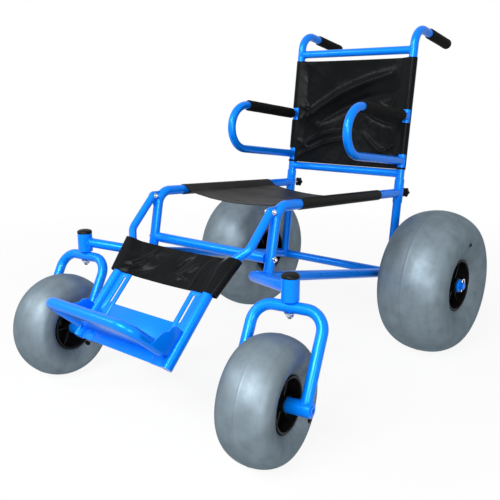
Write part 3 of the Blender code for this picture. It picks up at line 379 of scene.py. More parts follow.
@dataclass(frozen=True)
class MouldedPlastic(Finish):
    """Black moulded plastic with a fine spark texture."""

    worn: Colour = (0.012, 0.012, 0.0125)

    def paint(self, board: Board, shader: bpy.types.NodeInputs) -> None:
        """Satin black with lighter rubbed patches.

        Args:
            board: The material's tree.
            shader: The sockets to fill.
        """
        place = board.add("ShaderNodeTexCoord", output="Object")
        rub = board.speckle(place, 45.0, 5.0)
        spark = board.speckle(place, 1100.0)
        board.feed(shader["Base Color"], board.blend(rub.within(0.45, 0.85), self.colour, self.worn))
        board.feed(shader["Roughness"], rub.within(0.3, 0.8) * 0.15 + self.roughness)
        board.feed(shader["Normal"], board.bump(spark, 0.0003, 0.15))


@dataclass(frozen=True)
class PlatedSteel(Finish):
    """Bright zinc-plated steel with a faint crystal bloom."""

    bloom: Colour = (0.48, 0.49, 0.50)

    def paint(self, board: Board, shader: bpy.types.NodeInputs) -> None:
        """Patchy bright metal.

        Args:
            board: The material's tree.
            shader: The sockets to fill.
        """
        place = board.add("ShaderNodeTexCoord", output="Object")
        patch = board.speckle(place, 160.0, 4.0)
        board.feed(shader["Base Color"], board.blend(patch.within(0.35, 0.75), self.colour, self.bloom))
        board.feed(shader["Roughness"], patch.within(0.3, 0.8) * 0.14 + self.roughness)
        shader["Metallic"].default_value = 1.0


PAINT = PowderCoat("azure_powder_coat", "blue_paint", (0.0, 0.232, 1.0), roughness=0.27, shine=0.10)
SKIN = BalloonSkin("balloon_skin", "grey_tyre", (0.205, 0.260, 0.300), roughness=0.44, shine=0.04)
CLOTH = CoatedCloth("coated_cloth", "black_vinyl", (0.0036, 0.0044, 0.0052), roughness=0.17, shine=0.045)
# The seat's cloth is rougher than the back's. Its lighter colour and sheen are painted sheen that stands in
# for the shine the seat shows at a low angle.
WORN_CLOTH_PAINTED_SHEEN = CoatedCloth(
    "worn_coated_cloth", "black_vinyl", (0.0110, 0.0108, 0.0104), roughness=0.36, shine=0.042,
    sheen=(0.0200, 0.0196, 0.0188))
THREAD = Foam("black_thread", "black_vinyl", (0.012, 0.012, 0.0125), roughness=0.74, shine=0.065)
FOAM = Foam("closed_cell_foam", "black_foam", (0.0050, 0.0052, 0.0055), roughness=0.74, shine=0.065)
PLASTIC = MouldedPlastic(
    "moulded_plastic", "black_plastic", (0.0045, 0.0045, 0.0048), roughness=0.30, shine=0.10)
STEEL = PlatedSteel("plated_steel", "steel", (0.72, 0.72, 0.73), roughness=0.18, shine=0.5)


class NodeShape:
    """A mesh-making node tree with named sizes, run into plain meshes."""

    KINDS = {int: "NodeSocketInt", float: "NodeSocketFloat"}

    def __init__(self, name: str, sizes: dict[str, float | int]) -> None:
        """Open a tree with a geometry input, its sizes and a material.

        Args:
            name: The tree's name.
            sizes: The named inputs and their usual values.
        """
        self.tree = bpy.data.node_groups.new(name, "GeometryNodeTree")
        self.board = Board(self.tree)
        self.sizes = sizes
        panel = self.tree.interface
        panel.new_socket("Geometry", in_out="OUTPUT", socket_type="NodeSocketGeometry")
        panel.new_socket("Geometry", in_out="INPUT", socket_type="NodeSocketGeometry")
        self.labels = {
            label: panel.new_socket(label, in_out="INPUT", socket_type=self.KINDS[type(value)]).identifier
            for label, value in sizes.items()
        }
        self.labels["Material"] = panel.new_socket(
            "Material", in_out="INPUT", socket_type="NodeSocketMaterial").identifier
        self.source = self.board.add("NodeGroupInput")

    def given(self, label: str) -> Wire:
        """One of the tree's inputs."""
        return self.source.of(label)

    def close(self, geometry: Wire) -> "NodeShape":
        """Realise the instances, set the material and end the tree.

        Args:
            geometry: The finished geometry.

        Returns:
            This tree.
        """
        real = self.board.add("GeometryNodeRealizeInstances", {}, {"Geometry": geometry})
        inputs = {"Geometry": real, "Material": self.given("Material")}
        dressed = self.board.add("GeometryNodeSetMaterial", {}, inputs)
        self.board.node("NodeGroupOutput", {}, {"Geometry": dressed})
        return self

    def run(self, source: bpy.types.Mesh, finish: Finish, sizes: dict[str, float | int]) -> bpy.types.Mesh:
        """Run the tree on a mesh.

        Args:
            source: The mesh that the tree starts from.
            finish: The finish that the result gets.
            sizes: Sizes that differ from the usual ones.

        Returns:
            The result as a plain mesh.
        """
        holder = bpy.data.objects.new(source.name, source)
        bpy.context.scene.collection.objects.link(holder)
        change = holder.modifiers.new(self.tree.name, "NODES")
        change.node_group = self.tree
        for label, value in {**self.sizes, **sizes}.items():
            change[self.labels[label]] = value
        change[self.labels["Material"]] = finish.material()
        graph = bpy.context.evaluated_depsgraph_get()
        made = bpy.data.meshes.new_from_object(holder.evaluated_get(graph), depsgraph=graph)
        bpy.data.objects.remove(holder)
        return made


def tube_tree() -> NodeShape:
    """A round tube along a line of edges.

    Returns:
        The tree, ready to run.
    """
    shape = NodeShape("bent_tube", {"Radius": 0.015, "Sides": 36})
    line = shape.board.add("GeometryNodeMeshToCurve", {}, {"Mesh": shape.given("Geometry")})
    ring = shape.board.add(
        "GeometryNodeCurvePrimitiveCircle", {},
        {"Resolution": shape.given("Sides"), "Radius": shape.given("Radius")})
    inputs = {"Curve": line, "Profile Curve": ring, "Fill Caps": True}
    return shape.close(shape.board.add("GeometryNodeCurveToMesh", {}, inputs))


def bead_tree() -> NodeShape:
    """A rippled weld bead of overlapping drops along closed lines.

    Returns:
        The tree, ready to run.
    """
    shape = NodeShape("weld_bead", {"Width": 0.0024, "Pitch": 0.0022, "Seed": 5})
    board = shape.board
    line = board.add("GeometryNodeMeshToCurve", {}, {"Mesh": shape.given("Geometry")})
    spots = board.add(
        "GeometryNodeResampleCurve", {"mode": "LENGTH"}, {"Curve": line, "Length": shape.given("Pitch")})
    drop = board.add(
        "GeometryNodeMeshIcoSphere", {}, {"Radius": shape.given("Width"), "Subdivisions": 2})
    swell = board.add(
        "FunctionNodeRandomValue", {"data_type": "FLOAT_VECTOR"},
        {0: (0.9, 0.9, 0.9), 1: (1.15, 1.15, 1.15), "Seed": shape.given("Seed")})
    inputs = {"Points": spots, "Instance": drop, "Scale": swell}
    return shape.close(board.add("GeometryNodeInstanceOnPoints", {}, inputs))


def stitch_tree() -> NodeShape:
    """Short thread stitches laid along lines.

    Returns:
        The tree, ready to run.
    """
    shape = NodeShape("stitches", {"Pitch": 0.0055, "Length": 0.0019, "Thread": 0.00045})
    board = shape.board
    line = board.add("GeometryNodeMeshToCurve", {}, {"Mesh": shape.given("Geometry")})
    spots = board.add(
        "GeometryNodeCurveToPoints", {"mode": "LENGTH"}, {"Curve": line, "Length": shape.given("Pitch")})
    strand = board.add("GeometryNodeMeshUVSphere", {}, {"Segments": 6, "Rings": 5, "Radius": 1.0})
    size = board.add(
        "ShaderNodeCombineXYZ", {},
        {0: shape.given("Length"), 1: shape.given("Thread"), 2: shape.given("Thread")})
    turn = board.add("FunctionNodeAlignRotationToVector", {"axis": "X"}, {"Vector": spots.of("Tangent")})
    inputs = {"Points": spots, "Instance": strand, "Rotation": turn, "Scale": size}
    return shape.close(board.add("GeometryNodeInstanceOnPoints", {}, inputs))


def rib_tree() -> NodeShape:
    """Radial ribs set round a hub, standing at one level.

    Returns:
        The tree, ready to run.
    """
    sizes = {"Count": 6, "Reach": 0.05, "Length": 0.05, "Thickness": 0.005, "Height": 0.04, "Level": 0.03}
    shape = NodeShape("hub_ribs", sizes)
    board = shape.board
    ring = board.add(
        "GeometryNodeMeshCircle", {}, {"Vertices": shape.given("Count"), "Radius": shape.given("Reach")})
    size = board.add(
        "ShaderNodeCombineXYZ", {},
        {0: shape.given("Length"), 1: shape.given("Thickness"), 2: shape.given("Height")})
    block = board.add("GeometryNodeMeshCube", {}, {"Size": size})
    outward = board.add("GeometryNodeInputPosition")
    turn = board.add("FunctionNodeAlignRotationToVector", {"axis": "X"}, {"Vector": outward})
    set_out = board.add(
        "GeometryNodeInstanceOnPoints", {}, {"Points": ring, "Instance": block, "Rotation": turn})
    lift = board.add("ShaderNodeCombineXYZ", {}, {2: shape.given("Level")})
    inputs = {"Geometry": set_out, "Translation": lift}
    return shape.close(board.add("GeometryNodeTransform", {}, inputs))


def bolt_tree() -> NodeShape:
    """Domed nuts on washers, one on each point, facing along its own direction.

    Returns:
        The tree, ready to run.
    """
    shape = NodeShape("domed_nuts", {"Radius": 0.008, "Washer": 1.3})
    board = shape.board
    washer = board.add(
        "GeometryNodeMeshCylinder", {},
        {"Vertices": 28, "Radius": shape.given("Washer"), "Depth": 0.22})
    hexagon = board.add("GeometryNodeMeshCylinder", {}, {"Vertices": 6, "Radius": 1.0, "Depth": 0.7})
    ball = board.add("GeometryNodeMeshUVSphere", {}, {"Segments": 24, "Rings": 14, "Radius": 0.80})
    placed = [
        board.add("GeometryNodeTransform", {}, {"Geometry": body, "Translation": (0.0, 0.0, level)})
        for body, level in ((washer, 0.0), (hexagon, 0.40), (ball, 0.66))
    ]
    joined = board.add("GeometryNodeJoinGeometry")
    for body in placed:
        board.tree.links.new(body.socket, joined.socket.node.inputs[0])
    way = board.add(
        "GeometryNodeInputNamedAttribute", {"data_type": "FLOAT_VECTOR"}, {"Name": "facing"})
    turn = board.add("FunctionNodeAlignRotationToVector", {"axis": "Z"}, {"Vector": way})
    size = board.add(
        "ShaderNodeCombineXYZ", {},
        {0: shape.given("Radius"), 1: shape.given("Radius"), 2: shape.given("Radius")})
    inputs = {"Points": shape.given("Geometry"), "Instance": joined, "Rotation": turn, "Scale": size}
    return shape.close(board.add("GeometryNodeInstanceOnPoints", {}, inputs))


TUBES = tube_tree()
BEADS = bead_tree()
STITCHES = stitch_tree()
RIBS = rib_tree()
BOLTS = bolt_tree()


@dataclass(frozen=True)
class Guide:
    """A frame of reference on the chair, such as the reclined back."""

    matrix: Matrix

    def at(self, x: float, y: float, z: float) -> Vector:
        """A point of the guide in the chair's frame."""
        return self.matrix @ Vector((x, y, z))

    def toward(self, x: float, y: float, z: float) -> Vector:
        """A direction of the guide in the chair's frame."""
        return (self.matrix.to_3x3() @ Vector((x, y, z))).normalized()


def joint_place(name: str) -> Vector:
    """Where a joint lies."""
    return Vector(JOINTS[name]["pos_m"])


def joint_axis(name: str) -> Vector:
    """The direction of a joint's axis."""
    return Vector(JOINTS[name]["axis"])


def facing(place: Vector, ahead: Vector) -> Matrix:
    """A frame at a place whose local Z points ahead."""
    return Matrix.Translation(place) @ ahead.to_track_quat("Z", "Y").to_matrix().to_4x4()


AXLE = (joint_place("rear_wheel_spin_L") + joint_place("rear_wheel_spin_R")) / 2
LIFT = joint_axis("backrest_lift")
SLIDE = joint_axis("footplate_adjust")
CHAIR = Guide(Matrix.Translation((AXLE.x, AXLE.y, 0.0)))
BACK = Guide(Matrix.Translation(AXLE) @ Matrix.Rotation(-math.atan2(LIFT.y, LIFT.z), 4, "X"))
LEGS = Guide(
    Matrix.Translation(joint_place("leg_rest_swing"))
    @ Matrix.Rotation(math.atan2(-SLIDE.z, -SLIDE.y), 4, "X"))


def rounded(corners: Sequence[Point], radius: float, steps: int = 14) -> list[Vector]:
    """A path through corners with each inner corner turned on a radius.

    Args:
        corners: The corners of the path.
        radius: The bend's radius at the path.
        steps: Steps in each bend.

    Returns:
        The path's points.
    """
    points = [Vector(corners[0])]
    for before, here, after in zip(corners, corners[1:], corners[2:]):
        here = Vector(here)
        to_before = (Vector(before) - here).normalized()
        to_after = (Vector(after) - here).normalized()
        half = to_before.angle(to_after) / 2
        middle = here + (to_before + to_after).normalized() * radius / math.sin(half)
        first = here + to_before * radius / math.tan(half) - middle
        last = here + to_after * radius / math.tan(half) - middle
        axis = first.cross(last).normalized()
        turn = first.angle(last)
        points += [middle + Matrix.Rotation(turn * k / steps, 3, axis) @ first for k in range(steps + 1)]
    points.append(Vector(corners[-1]))
    return points


def arc(centre: Flat, radius: float, start: float, end: float, steps: int) -> list[Flat]:
    """Points of an arc in a plane.

    Args:
        centre: The arc's centre.
        radius: Its radius.
        start: First angle in radians.
        end: Last angle in radians.
        steps: Number of steps.

    Returns:
        The points in order.
    """
    angles = [start + (end - start) * k / steps for k in range(steps + 1)]
    return [(centre[0] + radius * math.cos(a), centre[1] + radius * math.sin(a)) for a in angles]


def straight(first: Flat, last: Flat, steps: int) -> list[Flat]:
    """Points in even steps along a straight line.

    Args:
        first: Where it starts.
        last: Where it ends.
        steps: Number of steps.

    Returns:
        The points, both ends among them.
    """
    return [
        (first[0] + (last[0] - first[0]) * k / steps, first[1] + (last[1] - first[1]) * k / steps)
        for k in range(steps + 1)
    ]


def line_mesh(name: str, lines: Iterable[Sequence[Vector]], closed: bool = False) -> bpy.types.Mesh:
    """Lines of edges for a node tree to follow.

    Args:
        name: The mesh's name.
        lines: The points of each line.
        closed: Whether each line ends where it starts.

    Returns:
        A mesh of edges.
    """
    points: list[Vector] = []
    edges: list[tuple[int, int]] = []
    for line in lines:
        first = len(points)
        points += list(line)
        edges += [(k, k + 1) for k in range(first, len(points) - 1)]
        if closed:
            edges.append((len(points) - 1, first))
    made = bpy.data.meshes.new(name)
    made.from_pydata(points, edges, [])
    return made


def tube(name: str, path: Sequence[Vector], radius: float, finish: Finish = PAINT) -> bpy.types.Mesh:
    """A round tube along a path.

    Args:
        name: The mesh's name.
        path: The tube's centre line.
        radius: The tube's radius.
        finish: Its finish.

    Returns:
        The tube's mesh.
    """
    return TUBES.run(line_mesh(name, [path]), finish, {"Radius": radius})


def turned(profile: Sequence[Flat], matrix: Matrix, segments: int = 48) -> bpy.types.Mesh:
    """A profile of (radius, height) turned about the local Z of a frame.

    A profile that starts and ends on the axis makes a solid piece; one that
    stays off the axis is closed into a ring.

    Args:
        profile: The points in order.
        matrix: The frame that the piece is turned in.
        segments: Steps round the axis.

    Returns:
        The turned mesh.
    """
    shape = bmesh.new()
    rings = []
    for radius, height in profile:
        count = segments if radius > 0.0 else 1
        rings.append([
            shape.verts.new((
                radius * math.cos(2 * math.pi * k / segments),
                radius * math.sin(2 * math.pi * k / segments), height))
            for k in range(count)
        ])
    pairs = list(zip(rings, rings[1:]))
    if len(rings[0]) > 1 and len(rings[-1]) > 1:
        pairs.append((rings[-1], rings[0]))
    for first, second in pairs:
        for k in range(segments):
            after = (k + 1) % segments
            corners = [first[k % len(first)], first[after % len(first)],
                       second[after % len(second)], second[k % len(second)]]
            shape.faces.new(list(dict.fromkeys(corners)))
    return settled(shape, matrix)


def plate(
    outline: Sequence[Flat], thickness: float, matrix: Matrix, holes: Sequence[Sequence[Flat]] = (),
    edge: float = 0.0008,
) -> bpy.types.Mesh:
    """A flat plate with eased edges.

    Args:
        outline: Its outline in the frame's XY plane.
        thickness: Its thickness, half to each side of that plane.
        matrix: The frame.
        holes: Outlines of holes through it.
        edge: The easing of its edges.

    Returns:
        The plate's mesh.
    """
    shape = bmesh.new()
    edges = []
    for loop in (outline, *holes):
        ring = [shape.verts.new((x, y, -thickness / 2)) for x, y in loop]
        edges += [shape.edges.new((a, b)) for a, b in zip(ring, ring[1:] + ring[:1])]
    bmesh.ops.triangle_fill(shape, edges=edges, use_beauty=True)
    grown = bmesh.ops.extrude_face_region(shape, geom=list(shape.faces), use_keep_orig=True)
    lifted = [v for v in grown["geom"] if isinstance(v, bmesh.types.BMVert)]
    bmesh.ops.translate(shape, verts=lifted, vec=(0.0, 0.0, thickness))
    bmesh.ops.recalc_face_normals(shape, faces=shape.faces)
    sharp = [e for e in shape.edges if e.is_manifold and e.calc_face_angle() > 0.6]
    bmesh.ops.bevel(
        shape, geom=sharp, offset=edge, segments=2, profile=0.5, affect="EDGES", clamp_overlap=True)
    return settled(shape, matrix)


def settled(shape: bmesh.types.BMesh, matrix: Matrix) -> bpy.types.Mesh:
    """A finished mesh, placed and facing outwards.

    Args:
        shape: The shape in its own frame.
        matrix: The frame.

    Returns:
        The mesh.
    """
    bmesh.ops.transform(shape, matrix=matrix, verts=shape.verts)
    bmesh.ops.recalc_face_normals(shape, faces=shape.faces)
    made = bpy.data.meshes.new("shape")
    shape.to_mesh(made)
    shape.free()
    return made


def gathered(meshes: Iterable[bpy.types.Mesh]) -> bpy.types.Mesh:
    """Several meshes as one.

    Args:
        meshes: The meshes, which are used up.

    Returns:
        The joined mesh.
    """
    shape = bmesh.new()
    for mesh in meshes:
        shape.from_mesh(mesh)
        bpy.data.meshes.remove(mesh)
    return settled(shape, Matrix.Identity(4))


def grid_mesh(name: str, points: np.ndarray, round_rows: bool = False) -> bpy.types.Mesh:
    """A mesh from rows of points.

    Args:
        name: The mesh's name.
        points: Points as rows, columns and coordinates.
        round_rows: Whether the last row joins the first, and the columns too.

    Returns:
        The mesh.
    """
    rows, columns = points.shape[:2]
    index = np.arange(rows * columns).reshape(rows, columns)
    if round_rows:
        index = np.pad(index, ((0, 1), (0, 1)), mode="wrap")
    quads = np.stack([index[:-1, :-1], index[:-1, 1:], index[1:, 1:], index[1:, :-1]], axis=-1)
    made = bpy.data.meshes.new(name)
    made.from_pydata(points.reshape(-1, 3).tolist(), [], quads.reshape(-1, 4).tolist())
    return made


def saddle(
    start: Vector, ahead: Vector, radius: float, target: tuple[Vector, Vector, float], count: int = 40
) -> list[Vector]:
    """The loop where a tube meets the wall of another.

    Args:
        start: A point on the tube's centre line, before it meets the wall.
        ahead: The tube's direction.
        radius: The tube's radius.
        target: A point on the other tube's centre line, its direction and radius.
        count: Points in the loop.

    Returns:
        The loop's points.
    """
    place, along, wall = target
    along = along.normalized()
    ahead = ahead.normalized()
    side = ahead.orthogonal().normalized()
    rise = ahead.cross(side)
    slope = ahead - along * ahead.dot(along)
    loop = []
    for k in range(count):
        angle = 2 * math.pi * k / count
        point = start + (side * math.cos(angle) + rise * math.sin(angle)) * radius
        away = point - place
        away -= along * away.dot(along)
        middle = away.dot(slope)
        root = middle * middle - slope.dot(slope) * (away.dot(away) - wall * wall)
        loop.append(point + ahead * ((-middle - math.sqrt(max(root, 0.0))) / slope.dot(slope)))
    return loop


@dataclass
class Part:
    """One finished piece and what it stands for."""

    item: bpy.types.Object
    finish: Finish
    body: str
    nodes: tuple[str, ...]


@dataclass
class Assembly:
    """A sub-assembly: it builds its meshes, then dresses them."""

    parts: list[Part] = field(default_factory=list, init=False)
    welds: dict[str, list[list[Vector]]] = field(default_factory=dict, init=False)

    def add(
        self, name: str, mesh: bpy.types.Mesh, finish: Finish, body: str, nodes: Sequence[str] = (),
        crease: float = 38.0,
    ) -> bpy.types.Object:
        """Make a piece of a mesh.

        Args:
            name: The piece's name.
            mesh: Its mesh, in the chair's frame.
            finish: Its finish.
            body: The body that carries it.
            nodes: The CAD nodes that it stands for.
            crease: The angle in degrees past which an edge stays sharp.

        Returns:
            The new object.
        """
        mesh.name = name
        mesh.materials.clear()
        mesh.materials.append(finish.material())
        mesh.shade_smooth()
        mesh.set_sharp_from_angle(angle=math.radians(crease))
        item = bpy.data.objects.new(name, mesh)
        bpy.context.scene.collection.objects.link(item)
        self.parts.append(Part(item, finish, body, tuple(nodes)))
        return item

    def weld(self, body: str, *loops: list[Vector]) -> None:
        """Keep lines for the weld beads of a body."""
        self.welds.setdefault(body, []).extend(loops)

    def bolts(
        self, name: str, places: Sequence[tuple[Vector, Vector]], radius: float, body: str,
        nodes: Sequence[str],
    ) -> None:
        """Domed nuts on washers.

        Args:
            name: The piece's name.
            places: Where each nut sits and which way it faces.
            radius: Radius over the nut's corners.
            body: The body that carries them.
            nodes: The CAD nodes that they stand for.
        """
        spots = bpy.data.meshes.new(name)
        spots.from_pydata([place for place, _ in places], [], [])
        ways = spots.attributes.new("facing", "FLOAT_VECTOR", "POINT")
        ways.data.foreach_set("vector", [c for _, way in places for c in way])
        self.add(name, BOLTS.run(spots, STEEL, {"Radius": radius}), STEEL, body, nodes)

    def build(self) -> None:
        """Make the meshes."""
        raise NotImplementedError

    def dress(self) -> None:
        """Lay the weld beads, and hang every piece on its body."""
        for body, loops in self.welds.items():
            lines = line_mesh(f"{body}_welds", loops, closed=True)
            self.add(f"{body}_welds_{type(self).__name__.lower()}", BEADS.run(lines, PAINT, {}), PAINT, body)
        for part in self.parts:
            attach(part.item, part.body)
            if part.nodes:
                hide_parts(*part.nodes)
            LOG.info("%s on %s in %s", part.item.name, part.body, part.finish.name)


@dataclass
class Chassis(Assembly):
    """Side frames, cross tube, axle, outriggers, caster heads and hinge brackets."""

    spacing: float = 0.474
    tube_radius: float = 0.015
    seat_slope: float = math.radians(3.2)
    corner_ahead: float = 0.668
    bend_radius: float = 0.046
    lean: float = math.radians(11.0)
    outrigger_ahead: float = 0.757
    outrigger_height: float = 0.390
    outrigger_overhang: float = 0.025
    cross_height: float = 0.428
    rail_joint: float = 0.289
    socket: tuple[float, float, float] = (0.252, 0.338, 0.017)
    socket_wall: float = 0.0045
    socket_depth: float = 0.06
    socket_flare: float = 0.004
    head_radius: float = 0.023
    head_bore: float = 0.0088
    head_ease: float = 0.0012
    head_low: float = 0.378
    head_high: float = 0.437
    head_joint: float = 0.409
    cap_height: float = 0.013
    cap_lip: float = 0.0004
    axle_radius: float = 0.012
    axle_tip: float = 0.021
    wheel_inner: float = 0.318
    wheel_outer: float = 0.494
    collar_width: float = 0.009
    collar_wall: float = 0.010
    pin_gap: float = 0.0028
    pin_reach: float = 0.008
    pin_radius: float = 0.0025
    bail_swing: float = 0.020
    bail_bend: float = 0.006
    bracket_thickness: float = 0.005
    bracket_nose: float = 0.013
    bracket_drop: float = 0.058
    nut_radius: float = 0.0062

    def post_point(self, up: float) -> Flat:
        """Place in side view of a height along the reclined post."""
        spot = BACK.at(0.0, 0.0, up)
        return spot.y - AXLE.y, spot.z

    def corner(self) -> Flat:
        """Where the lines of seat rail and upright would meet, in side view."""
        back, level = self.post_point(self.rail_joint)
        return -self.corner_ahead, level + (back + self.corner_ahead) * math.tan(self.seat_slope)

    def upright(self, height: float) -> float:
        """Centre of the upright at a height."""
        ahead, level = self.corner()
        return ahead - (level - height) * math.tan(self.lean)

    def lower(self, ahead: float) -> float:
        """Height of the lower rail at a place ahead of the axle."""
        return AXLE.z + (self.outrigger_height - AXLE.z) * ahead / self.outrigger_ahead

    def build(self) -> None:
        """Tubes, plates, caps and bolts of the fixed frame."""
        self.build_axle()
        half = self.spacing / 2
        cross = self.upright(self.cross_height)
        ends = [CHAIR.at(s * (half - self.tube_radius), cross, self.cross_height) for s in (-1, 1)]
        self.add("cross_tube", tube("cross", ends, self.tube_radius), PAINT, "frame", ["front_cross_tube"])
        for side in Side:
            self.build_side(side)
            self.build_front(side)
        reach = half + self.tube_radius
        heads = [
            (CHAIR.at(s.sign * reach, cross, self.cross_height), Vector((s.sign, 0, 0))) for s in Side]
        self.bolts(
            "cross_tube_bolts", heads, self.nut_radius, "frame", ["cross_bolt_L", "cross_bolt_R"])

    def build_axle(self) -> None:
        """The stepped rear axle with its collars and snap pins."""
        wide = self.tube_radius
        thin = self.axle_radius
        end = self.wheel_outer + self.axle_tip
        step = self.wheel_inner - PLAY
        half = [(0.0, end), (thin - EASE, end), (thin, end - EASE), (thin, step), (wide, step)]
        profile = half + [(r, -x) for r, x in reversed(half)]
        across = facing(AXLE, Vector((1, 0, 0)))
        self.add("axle_bar", turned(profile, across), PAINT, "frame", ["rear_axle_tube"])
        for side in Side:
            start = self.wheel_outer + PLAY
            stop = start + self.collar_width
            outer = thin + self.collar_wall
            inner_ease = 0.001
            outer_ease = 0.003
            ring = [
                (thin + GAP, start), (outer - inner_ease, start), (outer, start + inner_ease),
                (outer, stop - outer_ease), (outer - outer_ease, stop), (thin + GAP, stop)]
            frame_out = facing(AXLE, Vector((side.sign, 0, 0)))
            self.add(f"axle_stop_{side.word}", turned(ring, frame_out), PAINT, "frame",
                     [side.node("axle_collar")])
            self.build_pin(side, stop + self.pin_gap)

    def build_pin(self, side: Side, out: float) -> None:
        """A snap pin through the axle with its sprung wire bail.

        Args:
            side: The side of the chair.
            out: Distance of the pin from the chair's middle.
        """
        reach = self.axle_radius + self.pin_reach
        x = side.sign * out
        swing = self.bail_swing
        bail = [(x, 0.0, -reach), (x, 0.0, reach), (x, swing, reach), (x, swing, self.bail_bend - reach)]
        path = [AXLE + p for p in rounded(bail, self.bail_bend, 10)]
        self.add(f"snap_pin_{side.word}", tube("pin", path, self.pin_radius, STEEL), STEEL, "frame",
                 [side.node("snap_pin")])

    def build_side(self, side: Side) -> None:
        """Rail, lower rail, post and hinge bracket of one side.

        Args:
            side: The side of the chair.
        """
        x = side.sign * self.spacing / 2
        ahead, level = self.corner()
        back, post_level = self.post_point(self.rail_joint)
        foot = self.lower(-self.upright(self.outrigger_height))
        corners = [(x, back, post_level), (x, ahead, level), (x, self.upright(foot), foot)]
        rail = [CHAIR.at(*p) for p in rounded(corners, self.bend_radius, 18)]
        self.add(f"seat_rail_{side.word}", tube("rail", rail, self.tube_radius), PAINT, "frame",
                 [side.node("side_rail")])
        low = [CHAIR.at(x, -self.outrigger_ahead, self.outrigger_height), CHAIR.at(x, 0.0, AXLE.z)]
        self.add(f"low_rail_{side.word}", tube("low", low, self.tube_radius), PAINT, "frame",
                 [side.node("lower_rail")])
        bottom, top, wide = self.socket
        narrow = self.tube_radius
        bore = wide - self.socket_wall
        post = [
            (0.0, 0.0), (narrow, 0.0), (narrow, bottom), (wide, bottom + self.socket_flare),
            (wide, top - EASE), (wide - EASE, top), (bore, top), (bore, top - self.socket_depth),
            (0.0, top - self.socket_depth)]
        upright = BACK.matrix @ Matrix.Translation((x, 0.0, 0.0))
        self.add(f"post_{side.word}", turned(post, upright), PAINT, "frame", [side.node("back_post")])
        self.build_bracket(side, x)
        axis = (BACK.at(x, 0.0, 0.0), BACK.toward(0, 0, 1))
        self.weld(
            "frame",
            saddle(rail[1], rail[0] - rail[1], narrow, (*axis, wide)),
            saddle(rail[-2], rail[-1] - rail[-2], narrow, (low[0], low[1] - low[0], narrow)),
            saddle(low[0], low[1] - low[0], narrow, (AXLE, Vector((1, 0, 0)), narrow)),
            saddle(BACK.at(x, 0, 0.1), BACK.toward(0, 0, -1), narrow, (AXLE, Vector((1, 0, 0)), narrow)))

    def build_bracket(self, side: Side, x: float) -> None:
        """The gusset on the front bend that carries the leg rest's hinge.

        Args:
            side: The side of the chair.
            x: The plate's middle from the chair's middle.
        """
        hinge = joint_place("leg_rest_swing")
        nose = arc((hinge.y - AXLE.y, hinge.z), self.bracket_nose, math.radians(70), math.radians(225), 18)
        ahead, level = self.corner()
        foot = level - self.bracket_drop - self.tube_radius
        outline = [(ahead + self.tube_radius, level), *nose, (self.upright(foot), foot)]
        stand = CHAIR.matrix @ Matrix(((0, 0, 1, x), (1, 0, 0, 0), (0, 1, 0, 0), (0, 0, 0, 1)))
        self.add(f"hinge_gusset_{side.word}", plate(outline, self.bracket_thickness, stand), PAINT,
                 "frame", [side.node("hinge_bracket")])

    def build_front(self, side: Side) -> None:
        """Outrigger, caster head and its cap on one side.

        Args:
            side: The side of the chair.
        """
        x = side.sign * self.spacing / 2
        head = joint_place(side.node("caster_swivel"))
        inner = CHAIR.at(x, -self.outrigger_ahead, self.outrigger_height)
        outer = Vector((head.x, head.y, self.head_joint))
        ahead = (outer - inner).normalized()
        length = (outer - inner).length + self.outrigger_overhang
        wide = self.tube_radius
        dome = [(wide * math.sin(a), wide * 0.5 * (1 - math.cos(a)))
                for a in (math.radians(d) for d in range(0, 91, 15))]
        start = facing(inner - ahead * self.outrigger_overhang, ahead)
        self.add(f"outrigger_arm_{side.word}", turned([*dome, (wide, length), (0.0, length)], start),
                 PAINT, "frame", [side.node("outrigger")])
        radius = self.head_radius
        bore = self.head_bore
        ease = self.head_ease
        wall = [
            (bore, self.head_low), (radius - ease, self.head_low), (radius, self.head_low + ease),
            (radius, self.head_high - ease), (radius - ease, self.head_high), (bore, self.head_high)]
        stand = Matrix.Translation((head.x, head.y, 0.0))
        self.add(f"caster_head_{side.word}", turned(wall, stand), PAINT, "frame",
                 [side.node("head_tube")])
        low = self.head_high + GAP
        crown = [(radius * math.cos(a), low + self.cap_height * (0.45 + 0.55 * math.sin(a)))
                 for a in (math.radians(d) for d in range(0, 90, 9))]
        lip = radius + self.cap_lip
        skirt = [(lip, low), (lip, low + self.cap_height * 0.42)]
        cap = [(0.0, low), *skirt, *crown, (0.0, low + self.cap_height)]
        self.add(f"caster_cap_{side.word}", turned(cap, stand), PLASTIC, "frame",
                 [side.node("head_cap")], crease=50.0)
        rail = CHAIR.at(x, 0.0, AXLE.z)
        self.weld(
            "frame",
            saddle(inner, ahead, wide, (outer, Vector((0, 0, 1)), radius)),
            saddle(rail, inner - rail, wide, (inner, ahead, wide)))


@dataclass(frozen=True)
class ValveSpot:
    """Where a tyre's valve sits: its angle round the wheel, its share from crown to bead and its face."""

    angle: float
    reach: float
    face: int = 1


